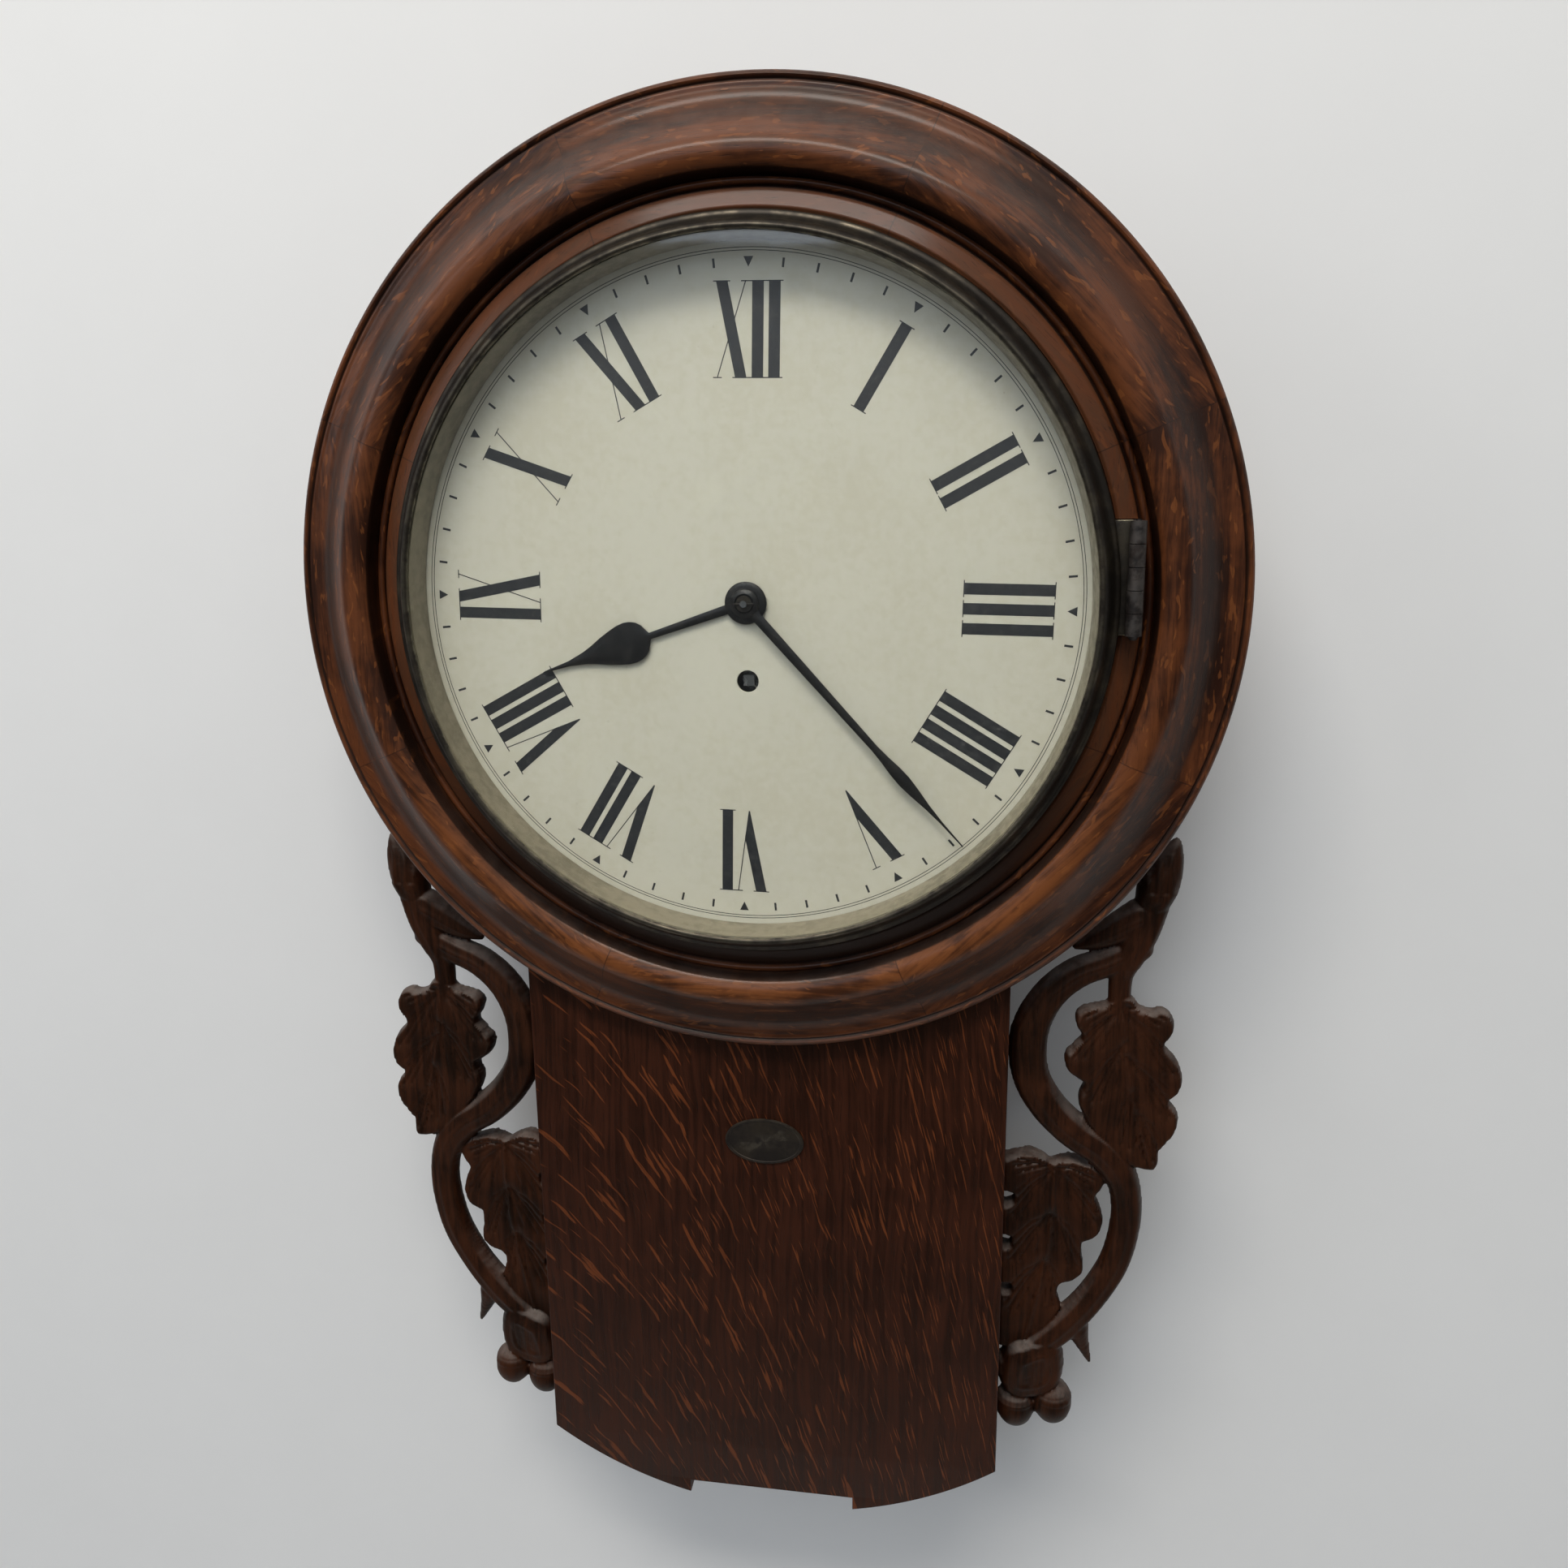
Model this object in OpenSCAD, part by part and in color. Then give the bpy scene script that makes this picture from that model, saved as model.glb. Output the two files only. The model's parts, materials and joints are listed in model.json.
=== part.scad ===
// A drop dial wall clock: a moulded round surround over a boxed trunk with carved oak-leaf ears,
// an eight-day spring movement and a half-second class pendulum.
// The origin lies on the wall behind the centre of the dial, X to the right, Z up, the wall at Y = 0.
// A size called "out" is a distance from the wall towards the viewer, that is along -Y.

/* [Dial and glazed bezel] */
// Outer radius of the brass bezel
bezel_r = 162; // [150:0.5:180]
// How much smaller than the bezel the painted dial plate is in radius
dial_inset = 4; // [3:0.5:5]
// Thickness of the dial plate
dial_t = 1.5; // [1:0.1:2]
// How far the painted face stands out from the wall
dial_out = 120; // [118:0.5:124]
// Radius of the winding hole
winding_hole_r = 5; // [4.5:0.1:7]
// Thickness of the bezel's wall outside the glass
bezel_wall = 7; // [6:0.1:8]
// Thickness of the glass
glass_t = 2.2; // [1.6:0.1:3]
// How far the bezel's lip reaches in over the glass
lip_w = 2.4; // [2:0.1:4]
// Thickness of the bezel's lip over the glass
lip_t = 1.9; // [1.2:0.1:3]
// Width of the sight ring's foot on the dial
sight_w = 3.8; // [3:0.1:5]
// Height of the sight ring between dial and glass
sight_h = 15.3; // [12:0.1:18]
// Height of the bezel's outer edge
edge_h = 9.8; // [8:0.1:11]
// Length of the bezel's butt hinge
hinge_l = 48; // [36:1:56]
// Radius of the hinge's knuckles
knuckle_r = 3.5; // [3:0.1:4.5]

/* [Moulded surround] */
// Width of the moulding outside the bezel
moulding_w = 57; // [50:1:64]
// Width of the surround's seat behind the dial and the bezel
seat_w = 23; // [19:1:31]
// Thickness of the surround's outer rim
rim_t = 9; // [7:0.5:10]
// Section radius of the large round moulding
roll_r = 9.5; // [8.5:0.5:10.5]
// Section radius of the bead beside the dial
bead_r = 1.8; // [1.4:0.1:2.2]

/* [Trunk] */
// Width of the trunk
trunk_w = 245; // [236:1:250]
// How far the trunk's front stands out from the wall
trunk_out = 98; // [96:0.5:98.5]
// Thickness of the case boards
board_t = 12; // [9:0.5:14]
// Room between the end of the pendulum and the bottom door
foot_room = 45.94; // [30:0.01:60]
// Radius of the curve between the lower corners
foot_r = 210; // [190:1:240]
// Width of the finger notch in the curved foot
notch_w = 91; // [80:1:100]
// Depth of the finger notch, up from the end of the curve beside it
notch_h = 7.5; // [6:0.5:9]
// Height of the box above the dial's centre
box_top = 140; // [132:1:150]
// Thickness of the curved bottom boards
foot_board_t = 10; // [8:0.5:12]
// Radius of the hole in the hanging plate
hang_hole_r = 4; // [3:0.5:5]
// Width of the blank oval plate on the trunk
oval_w = 41; // [30:1:60]
// Height of the blank oval plate on the trunk
oval_h = 25; // [16:1:36]

/* [Carved ears] */
// Thickness of the ears' leaves
leaf_t = 13; // [8:1:18]
// Distance of the ears' middle from the wall
ear_out = 81; // [74:0.5:84]
// How much lower the left ear is fixed than the right one
ear_left_drop = 9; // [0:0.5:12]
// Radius of the two acorns under each ear
acorn_r = 10.5; // [9:0.5:12]

/* [Movement] */
// Distance of the back plate from the wall
back_plate_out = 63.5; // [62:0.5:64]
// Thickness of the two plates
plate_t = 2.5; // [2:0.1:3]
// Gap between the two plates
plate_gap = 37.5; // [37:0.1:39]
// Distance of the winding arbor below the centre arbor
winding_drop = 35.5; // [34.5:0.1:37]
// Height of the escape arbor above the centre arbor
escape_rise = 38; // [36:0.5:40]
// Height of the pallet arbor above the escape arbor
pallet_rise = 24; // [23.5:0.1:26]
// Radius of the escape wheel at its teeth
escape_r = 16.5; // [15:0.1:17]

/* [Pendulum] */
// Distance from the suspension to the middle of the bob
pendulum_l = 440; // [420:1:445]
// How far the pendulum hangs from the wall
pendulum_out = 40; // [38:0.5:43]
// Radius of the bob
bob_r = 38; // [28:1:44]
// Thickness of the bob at its middle
bob_t = 22; // [14:1:28]

/* [Hands] */
// Minutes past the hour that the hands show
shown_minute = 23; // [0:1:59]
// Hour that the hands show
shown_hour = 8; // [1:1:12]
// Gap between the minute hand's tip and the sight ring
hand_gap = 4; // [3:0.5:20]
// Length of the hour hand from its centre to its tip
hour_hand_l = 101; // [80:1:120]
// Radius of the hour hand's boss
hour_boss_r = 9.5; // [6:0.5:12]

/* [Fits] */
// Radial clearance of the pivots and other running fits
run = 0.05; // [0.02:0.01:0.08]
// Gap between wooden pieces that move or slide past each other
slack = 0.5; // [0.3:0.1:0.8]

/* [Hidden] */
$fn = 96;
half_w = trunk_w / 2;
glass_gap = 0.2;
seat_out = dial_out - dial_t;
dial_r = bezel_r - dial_inset;
glass_r = bezel_r - bezel_wall - glass_gap;
lip_r = glass_r - lip_w;
sight_r = glass_r - sight_w;
minute_hand_l = sight_r - hand_gap;
surround_seat_r = bezel_r + 1;
surround_r = surround_seat_r + moulding_w;
surround_bore_r = surround_seat_r - seat_w;
bezel_back = dial_out + 0.6;
glass_out = bezel_back + sight_h + 0.1;
lip_out = glass_out + glass_t + 0.1;
bezel_front = lip_out + lip_t;

// The bezel's hinge: its axis stands just outside the bezel and in front of it
hinge_x = bezel_r + knuckle_r + 2;
hinge_out = bezel_back + edge_h + 0.8;
hinge_z = 11;
hinge_pin_r = 1.2;
leaf_gap = 0.4;
hinge_leaf_t = 1.6;
knuckles = 5;
knuckle_l = hinge_l / knuckles;
hinge_bottom = hinge_z - hinge_l / 2;

// The pendulum's parts
flex_z = escape_rise + pallet_rise;
bob_z = flex_z - pendulum_l;
rod_r = 2;
rod_top = flex_z - 12;
nut_h = 6;
nut_r = 7;
bob_foot = 3;
rod_end = 6;
nut_z = bob_z - bob_r - bob_foot - nut_h;

// The trunk ends below its pendulum: the bottom door, the notch and the curved foot
door_t = 10;
door_recess = 4.5;
door_z = nut_z - rod_end - foot_room - door_t;
notch_z = door_z - door_recess;
lobe_z = notch_z - notch_h;
foot_z = lobe_z + sqrt(foot_r * foot_r - notch_w * notch_w / 4);
corner_drop = sqrt(foot_r * foot_r - half_w * half_w) - foot_z;
rebate_out = trunk_out - board_t;
front_top = -120;
inner_w = half_w - board_t;
foot_inset = 3;

// Bottom door and its hinge
door_w = notch_w - 1 - 2 * slack;
door_hinge_r = 2.2;
door_pin_r = 1;
door_hinge_out = board_t + 2.4;
door_hinge_z = door_z - 2.4;
door_hinge_l = 60;

// Pegs and battens that hold the surround to the box
batten_t = 14;
batten_d = 48;
batten_top = 124;
batten_bottom = -118;
peg_r = 4;
peg_z = 60;
peg_out = trunk_out - 30;

// Movement levels, all as distances from the wall
back_plate_front = back_plate_out + plate_t;
front_plate_out = back_plate_front + plate_gap;
front_plate_front = front_plate_out + plate_t;
plate_half_w = 50;
plate_top = 76;
plate_bottom = -74;
pillar_x = 42;
pillar_top = 67;
pillar_bottom = -65;
foot_x = 43;
foot_top = 42;
foot_bottom = -18;

// Tooth counts and modules of the train, the motion work and the escapement
barrel_n = 80;
barrel_m = 0.75;
mid_pinion_n = 12;
mid_n = 72;
mid_m = 0.6;
centre_pinion_n = 12;
centre_n = 80;
centre_m = 0.55;
third_pinion_n = 8;
third_n = 72;
third_m = 0.5;
escape_pinion_n = 8;
escape_n = 30;
motion_m = 0.5;
cannon_n = 20;
minute_n = 60;
minute_pinion_n = 16;
hour_n = 64;

// Where two circles about a and b cross, on the side s
function meet(a, ra, b, rb, s) =
    let(v = b - a, d = norm(v), f = (ra * ra - rb * rb + d * d) / (2 * d), h = sqrt(ra * ra - f * f))
    a + f * v / d + s * h * [-v[1], v[0]] / d;
// Distance between the arbors of two gears
function apart(n1, n2, m) = (n1 + n2) * m / 2;
function heading(a, b) = atan2(b[1] - a[1], b[0] - a[0]);
// Turn of gear b that brings its gap against gear a's tooth
function phase(a, na, turn_a, b, nb) =
    let(t = heading(a, b)) t + 180 - (0.5 - (t - turn_a) * na / 360) * 360 / nb;

centre_at = [0, 0];
barrel_at = [0, -winding_drop];
escape_at = [0, escape_rise];
pallet_at = [0, escape_rise + pallet_rise];
mid_at = meet(barrel_at, apart(barrel_n, mid_pinion_n, barrel_m),
    centre_at, apart(mid_n, centre_pinion_n, mid_m), -1);
third_at = meet(centre_at, apart(centre_n, third_pinion_n, centre_m),
    escape_at, apart(third_n, escape_pinion_n, third_m), 1);
minute_at = apart(cannon_n, minute_n, motion_m) * [cos(30), sin(30)];

centre_turn = 0;
centre_pinion_turn = 0;
mid_turn = phase(centre_at, centre_pinion_n, centre_pinion_turn, mid_at, mid_n);
mid_pinion_turn = mid_turn;
barrel_turn = phase(mid_at, mid_pinion_n, mid_pinion_turn, barrel_at, barrel_n);
third_pinion_turn = phase(centre_at, centre_n, centre_turn, third_at, third_pinion_n);
third_turn = third_pinion_turn;
escape_pinion_turn = phase(third_at, third_n, third_turn, escape_at, escape_pinion_n);
cannon_turn = 0;
minute_turn = phase(centre_at, cannon_n, cannon_turn, minute_at, minute_n);
hour_turn = phase(minute_at, minute_pinion_n, minute_turn, centre_at, hour_n);

// Levels of the wheels, measured from the front of the back plate
barrel_level = back_plate_front + 3.5;
barrel_wheel_t = 3;
drum_level = barrel_level + barrel_wheel_t;
drum_h = 18;
drum_r = 27.4;
drum_wall = 1.8;
barrel_front = drum_level + drum_h + 1.5;
wheel_t = 1.5;
mid_level = barrel_front + 1.2;
centre_level = mid_level + 3.8;
third_level = back_plate_front + 18;
escape_level = back_plate_front + 10;
motion_level = front_plate_front + 0.9;
hour_level = motion_level + 3.7;
arbor_gap = 0.3;

// The barrel arbor
barrel_arbor_r = 4;
barrel_hub_r = 7;
winding_square = 5;
ratchet_r = 13;
ratchet_n = 24;
ratchet_t = 2;
ratchet_level = front_plate_front + 0.6;

// The hands
hour_hand_out = dial_out + 1.2;
minute_hand_out = dial_out + 4;
hand_t = 1;
cannon_r = 2.6;
hour_pipe_r = 4;
centre_front_r = 1.5;
minute_angle = shown_minute * 6;
hour_angle = shown_hour * 30 + shown_minute / 2;

// A flat outline in X and Z, made solid between two distances from the wall
module slab(near, far) {
    translate([0, -near, 0]) rotate([90, 0, 0]) linear_extrude(far - near) children();
}

// A profile of radius and distance from the wall, turned about the dial's axis
module turned() {
    rotate([90, 0, 0]) rotate_extrude($fn = 180) children();
}

// A round bar along the dial's axis, between two distances from the wall
module bar(at, r, near, far) {
    translate([at[0], -near, at[1]]) rotate([90, 0, 0]) cylinder(r = r, h = far - near);
}

// The straight outline of a toothed wheel: parts of the module and of the pitch give each tooth
function teeth(n, m, turn, tip, root, w_tip, w_pitch, w_root) = [
    for (i = [0:n - 1])
    for (p = [[-root, -w_root], [0, -w_pitch], [0.75 * tip, -w_tip], [tip, -0.35 * w_tip],
        [tip, 0.35 * w_tip], [0.75 * tip, w_tip], [0, w_pitch], [-root, w_root]])
    let(r = (n / 2 + p[0]) * m, a = turn + (i + p[1]) * 360 / n) [r * cos(a), r * sin(a)]];
function wheel_teeth(n, m, turn) = teeth(n, m, turn, 0.95, 1.15, 0.10, 0.19, 0.20);
function pinion_teeth(n, m, turn) = teeth(n, m, turn, 0.55, 1.3, 0.07, 0.15, 0.13);

// One window between two spokes, with straight sides parallel to the spokes
function window(r_in, r_out, spokes, arm, steps = 6) =
    let(a = asin(arm / 2 / r_in), b = asin(arm / 2 / r_out), p = 360 / spokes)
    concat([for (i = [0:steps]) let(t = a + (p - 2 * a) * i / steps) r_in * [cos(t), sin(t)]],
        [for (i = [steps:-1:0]) let(t = b + (p - 2 * b) * i / steps) r_out * [cos(t), sin(t)]]);

// A crossed-out wheel on its arbor, seen from the front
module crossed_wheel(at, level, n, m, turn, hub_r, bore_r, spokes = 5, t = wheel_t) {
    rim = (n / 2 - 1.15) * m - 2;
    translate([at[0], 0, at[1]]) slab(level, level + t) difference() {
        polygon(wheel_teeth(n, m, turn));
        for (i = [0:spokes - 1])
            rotate(turn + i * 360 / spokes) polygon(window(hub_r, rim, spokes, 2));
        circle(r = bore_r);
    }
}

module pinion(at, near, far, n, m, turn) {
    translate([at[0], 0, at[1]]) slab(near, far) polygon(pinion_teeth(n, m, turn));
}

// The front outline of the trunk, cut by a curve that is set in by inset
module trunk_outline(inset = 0) {
    intersection() {
        translate([-half_w, foot_z - foot_r])
            square([trunk_w, box_top - foot_z + foot_r]);
        union() {
            translate([0, foot_z]) circle(r = foot_r - inset, $fn = 180);
            translate([-half_w, foot_z]) square([trunk_w, box_top - foot_z]);
        }
    }
}

module strip(x0, x1, z0, z1) {
    translate([x0, z0]) square([x1 - x0, z1 - z0]);
}

// Case

// The hanging plate: its hole, half width, thickness, depth behind the wall face, length below
// the hole and screws
hang_z = box_top + 20;
plate_r = 13;
hang_t = 2.5;
plate_in = 0.2;
plate_drop = 54;
plate_screws = [hang_z - 46, hang_z - 30];
// The backboard, let in at the back for the hanging plate and drilled for its screws
module backboard() {
    color("saddlebrown") difference() {
        slab(0, board_t) intersection() {
            trunk_outline(foot_inset + foot_board_t + 0.3);
            strip(-inner_w, inner_w, foot_z - foot_r, box_top);
        }
        slab(-1, plate_in + hang_t)
            strip(-plate_r - 0.1, plate_r + 0.1, hang_z - plate_drop - 0.1, box_top + 1);
        for (z = plate_screws) bar([0, z], 1.8, 1, board_t - 1.5);
    }
}

module side_board() {
    difference() {
        slab(0, trunk_out) intersection() {
            trunk_outline();
            strip(inner_w, half_w, foot_z - foot_r, box_top);
        }
        translate([0, -trunk_out - 1, foot_z - foot_r - 1])
            cube([half_w + 1, board_t + 1, front_top - foot_z + foot_r + 1]);
        for (z = [-peg_z, peg_z])
            translate([inner_w - 1, -peg_out, z]) rotate([0, 90, 0])
                cylinder(r = peg_r + run, h = board_t + 2);
    }
}
module side_right() {
    color("saddlebrown") side_board();
}
module side_left() {
    color("saddlebrown") mirror([1, 0, 0]) side_board();
}

module case_top() {
    color("saddlebrown") translate([-inner_w, -trunk_out, box_top - board_t])
        cube([2 * inner_w, trunk_out - board_t, board_t]);
}

// Two curved boards, one each side of the bottom door
module bottom_boards() {
    color("saddlebrown") for (s = [0, 1]) mirror([s, 0, 0])
        slab(0, rebate_out) intersection() {
            translate([0, foot_z]) difference() {
                circle(r = foot_r - foot_inset, $fn = 180);
                circle(r = foot_r - foot_inset - foot_board_t, $fn = 180);
            }
            strip(notch_w / 2, inner_w, foot_z - foot_r, foot_z);
        }
}

module trunk_front() {
    color("#3a1a0c") slab(rebate_out, trunk_out) difference() {
        intersection() {
            trunk_outline();
            strip(-half_w, half_w, foot_z - foot_r, front_top);
        }
        strip(-notch_w / 2, notch_w / 2, foot_z - foot_r - 1, notch_z);
    }
}

// The blank oval plate
module number_plate() {
    plate_z = -278;
    color("#1d1814") slab(trunk_out, trunk_out + 1.2)
        translate([0, plate_z])
            polygon([for (a = [0:7.5:352.5]) [oval_w / 2 * cos(a), oval_h / 2 * sin(a)]]);
}

// An iron plate let into the back of the backboard, with its hole above the box
module hanging_plate() {
    near = plate_in;
    far = plate_in + hang_t;
    color("#2b2b2b") {
        difference() {
            slab(near, far) union() {
                strip(-plate_r, plate_r, hang_z - plate_drop, hang_z);
                translate([0, hang_z]) circle(r = plate_r);
            }
            bar([0, hang_z], hang_hole_r, near - 1, far + 1);
            for (z = plate_screws) {
                difference() {
                    bar([0, z], 3.9, near - 1, near + 0.4);
                    bar([0, z], 3.5, near - 2, near + 1);
                }
                slab(near - 1, near + 0.7) strip(-3.2, 3.2, z - 0.4, z + 0.4);
            }
        }
        for (z = plate_screws) bar([0, z], 1.7, far - 0.5, board_t - 2);
    }
}

// Surround

module surround_profile() {
    back = trunk_out;
    rim = back + rim_t;
    edge = surround_r;
    roll_at = surround_seat_r + 0.39 * moulding_w;
    roll_out = seat_out;
    bead_at = surround_seat_r + 0.216 * moulding_w;
    // Where the round moulding turns into a slope, and how far the slope drops
    turn_at = roll_at + 0.707 * roll_r;
    turn_out = roll_out + 0.707 * roll_r;
    fall = turn_out - rim - 6;
    difference() {
        union() {
            polygon([[surround_bore_r, back], [edge, back], [edge, rim], [edge - 0.6, rim + 1.2],
                [edge - 1.8, rim + 1.9], [edge - 3, rim + 1.3], [edge - 3.2, rim + 0.4],
                [edge - 3.8, rim + 0.4], [edge - 4, rim + 1.7], [edge - 9, rim + 2.2],
                [edge - 11.6, rim + 3], [edge - 13.8, rim + 4.3], [turn_at + fall, rim + 6],
                [turn_at, turn_out], [roll_at, roll_out + 1], [bead_at + 2.6, roll_out + 1],
                [bead_at + 2.6, seat_out - 3.3], [bead_at - 2.3, seat_out - 3.3],
                [bead_at - 2.7, seat_out], [bead_at - 3.9, seat_out + 1.1],
                [surround_seat_r + 1.4, seat_out + 3.9], [surround_seat_r, seat_out + 2.9],
                [surround_seat_r, seat_out], [surround_bore_r, seat_out]]);
            translate([roll_at, roll_out]) circle(r = roll_r);
            translate([bead_at, seat_out - 1.9]) circle(r = bead_r);
        }
        // The groove between the round moulding and the bead
        translate([bead_at + bead_r, seat_out - 3.3]) square([2.6 - bead_r, 20]);
        translate([bead_at, seat_out]) square([2.6, 20]);
    }
}

module surround() {
    color("#5a2a16") difference() {
        turned() surround_profile();
        // The housing of the bezel's hinge
        translate([bezel_r - 6, -hinge_out - 8, hinge_bottom - leaf_gap])
            cube([hinge_wall_x - bezel_r + 6, hinge_out + 8 - seat_out, hinge_l + 2 * leaf_gap]);
        for (a = [45:90:315])
            bar(dial_screw_circle * [cos(a), sin(a)], dial_screw_r, seat_out - 9, seat_out + 1);
    }
}
hinge_wall_x = hinge_x + 0.2 + hinge_leaf_t;
dial_screw_circle = (sight_r + dial_r) / 2;
dial_screw_r = 1.6;
batten_x = inner_w - 0.2 - batten_t / 2;

module battens() {
    color("peru") for (s = [0, 1]) mirror([s, 0, 0]) difference() {
        translate([batten_x - batten_t / 2, -trunk_out, batten_bottom])
            cube([batten_t, batten_d, batten_top - batten_bottom]);
        for (z = [-peg_z, peg_z])
            translate([batten_x - batten_t / 2 - 1, -peg_out, z]) rotate([0, 90, 0])
                cylinder(r = peg_r + run, h = batten_t + 2);
    }
}

// Four wooden pegs, pushed in from outside through the box sides and the battens
module pegs() {
    head_l = 9;
    color("burlywood") for (s = [0, 1]) mirror([s, 0, 0]) for (z = [-peg_z, peg_z])
        translate([batten_x - batten_t / 2, -peg_out, z]) rotate([0, 90, 0]) {
            cylinder(r = peg_r, h = half_w + head_l - batten_x + batten_t / 2);
            translate([0, 0, half_w - batten_x + batten_t / 2])
                cylinder(r1 = peg_r + 1, r2 = peg_r + 2, h = head_l);
        }
}

// Dial and bezel

module dial() {
    color("ivory") difference() {
        bar(centre_at, dial_r, seat_out, dial_out);
        bar(centre_at, hour_pipe_r + 0.7, seat_out - 1, dial_out + 1);
        bar(barrel_at, winding_hole_r, seat_out - 1, dial_out + 1);
        for (a = [45:90:315]) {
            translate([dial_screw_circle * cos(a), -seat_out, dial_screw_circle * sin(a)])
                rotate([90, 0, 0])
                    cylinder(r1 = dial_screw_r, r2 = dial_screw_r + dial_t, h = dial_t);
        }
    }
}

module dial_screws() {
    color("#6b5a3a") for (a = [45:90:315]) {
        bar(dial_screw_circle * [cos(a), sin(a)], dial_screw_r, seat_out - 9, seat_out);
        translate([dial_screw_circle * cos(a), -seat_out, dial_screw_circle * sin(a)])
            rotate([90, 0, 0])
                cylinder(r1 = dial_screw_r, r2 = dial_screw_r + dial_t, h = dial_t);
    }
}

dial_foot_r = 3.5;
dial_tenon_r = 2;
module dial_feet() {
    color("goldenrod") for (x = [-foot_x, foot_x]) for (z = [foot_bottom, foot_top]) {
        bar([x, z], dial_foot_r, front_plate_front, seat_out);
        bar([x, z], dial_tenon_r, front_plate_out - 3, front_plate_front + 1);
    }
}

module bezel() {
    lug_front = hinge_out - knuckle_r - leaf_gap;
    edge_out = bezel_back + edge_h;
    color("#8a6a2f") difference() {
        union() {
            turned() polygon([[glass_r + glass_gap, bezel_back], [bezel_r, bezel_back],
                [bezel_r, edge_out - 1.8], [bezel_r - 0.4, edge_out - 0.6],
                [bezel_r - 1.4, edge_out], [bezel_r - 2.6, edge_out + 0.8],
                [lip_r + 5, bezel_front - 6], [lip_r + 4.6, bezel_front - 4.8],
                [lip_r + 3.8, bezel_front - 2.6], [lip_r + 2.8, bezel_front - 0.9],
                [lip_r + 1.6, bezel_front], [lip_r + 0.6, bezel_front - 0.3],
                [lip_r, bezel_front - 1], [lip_r, lip_out], [glass_r + glass_gap, lip_out]]);
            // The lug that the hinge is fixed to
            difference() {
                translate([bezel_r - 9, -lug_front, hinge_bottom])
                    cube([hinge_x - 0.2 - hinge_leaf_t - bezel_r + 9, lug_front - bezel_back, hinge_l]);
                bar(centre_at, bezel_r - 1, bezel_back - 1, bezel_front + 1);
            }
        }
    }
}

module glass() {
    color("lightblue", 0.3) bar(centre_at, glass_r, glass_out, glass_out + glass_t);
}

module sight_ring() {
    slope = 1.4;
    color("beige") turned() polygon([[sight_r, bezel_back], [glass_r, bezel_back],
        [glass_r, bezel_back + sight_h], [sight_r + slope, bezel_back + sight_h]]);
}

// One half of the butt hinge: its leaf runs back beside the axis, s = 1 outside and -1 inside
module hinge_leaf(s, first, leaf_back, bore_r) {
    x0 = s > 0 ? hinge_x + 0.2 : hinge_x - 0.2 - hinge_leaf_t;
    difference() {
        union() {
            translate([x0, -hinge_out + knuckle_r + leaf_gap, hinge_bottom])
                cube([hinge_leaf_t, hinge_out - knuckle_r - leaf_gap - leaf_back, hinge_l]);
            for (i = [first:2:knuckles - 1])
                translate([0, 0, hinge_bottom + i * knuckle_l + 0.15]) {
                    translate([hinge_x, -hinge_out, 0]) cylinder(r = knuckle_r, h = knuckle_l - 0.3);
                    translate([x0, -hinge_out + 2, 0])
                        cube([hinge_leaf_t, knuckle_r + leaf_gap, knuckle_l - 0.3]);
                }
        }
        translate([hinge_x, -hinge_out, hinge_bottom - 1])
            cylinder(r = bore_r, h = hinge_l + 2);
    }
}
module hinge_leaf_fixed() {
    color("#26211d") hinge_leaf(1, 0, seat_out, hinge_pin_r);
}
module hinge_leaf_moving() {
    color("#26211d") hinge_leaf(-1, 1, bezel_back + 2, hinge_pin_r + run);
}
module hinge_pin() {
    color("#3a342e") translate([hinge_x, -hinge_out, hinge_bottom - 1.6]) {
        translate([0, 0, 0.8]) cylinder(r = hinge_pin_r, h = hinge_l + 1.2);
        cylinder(r1 = 1.4, r2 = 2.4, h = 1.6);
    }
}

// Hands

// A hand pointing up: points of [height, half width], drawn for the last point's height
module blade(points, length) {
    k = length / points[len(points) - 1][0];
    polygon(concat([for (p = points) k * [p[1], p[0]]],
        [for (i = [len(points) - 1:-1:0]) k * [-points[i][1], points[i][0]]]));
}

module hour_hand() {
    shape = [[0, 2.3], [47, 1.5], [48, 3], [49.5, 5.9], [51.5, 7.8], [54, 9], [57, 9.5], [60.5, 9.2],
        [65, 8], [70, 6.4], [75, 4.4], [80, 2.8], [88, 1.2], [101, 0.35]];
    color("#15130f") slab(hour_hand_out, hour_hand_out + hand_t) rotate(-hour_angle) difference() {
        union() {
            circle(r = hour_boss_r);
            blade(shape, hour_hand_l);
        }
        circle(r = hour_pipe_r - 0.4 + run);
    }
}

module minute_hand() {
    shape = [[0, 2.4], [87, 1.6], [94, 2], [101, 2.7], [107, 2.9], [114, 2.3], [123, 1.2], [132, 0.55],
        [147, 0.25]];
    color("#15130f") slab(minute_hand_out, minute_hand_out + hand_t) rotate(-minute_angle) difference() {
        union() {
            circle(r = 6.5);
            blade(shape, minute_hand_l);
        }
        circle(r = cannon_r - 0.5 + run);
    }
}

// The collet in front of the minute hand and the taper pin that holds it
module hand_collet() {
    near = minute_hand_out + hand_t + 0.2;
    color("goldenrod") difference() {
        bar(centre_at, 3.6, near, near + 1.2);
        bar(centre_at, centre_front_r + run, near - 1, near + 2);
    }
    color("silver") translate([-4.5, -near - 1.7, 0]) rotate([0, 90, 0]) cylinder(r = 0.4, h = 9);
}

// Plates

pillar_r = 4;
pillar_tenon_r = 2.5;
module corners() {
    for (x = [-pillar_x, pillar_x]) for (z = [pillar_bottom, pillar_top])
        translate([x, 0, z]) children();
}

module plate_outline() {
    strip(-plate_half_w, plate_half_w, plate_bottom, plate_top);
}

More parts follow.
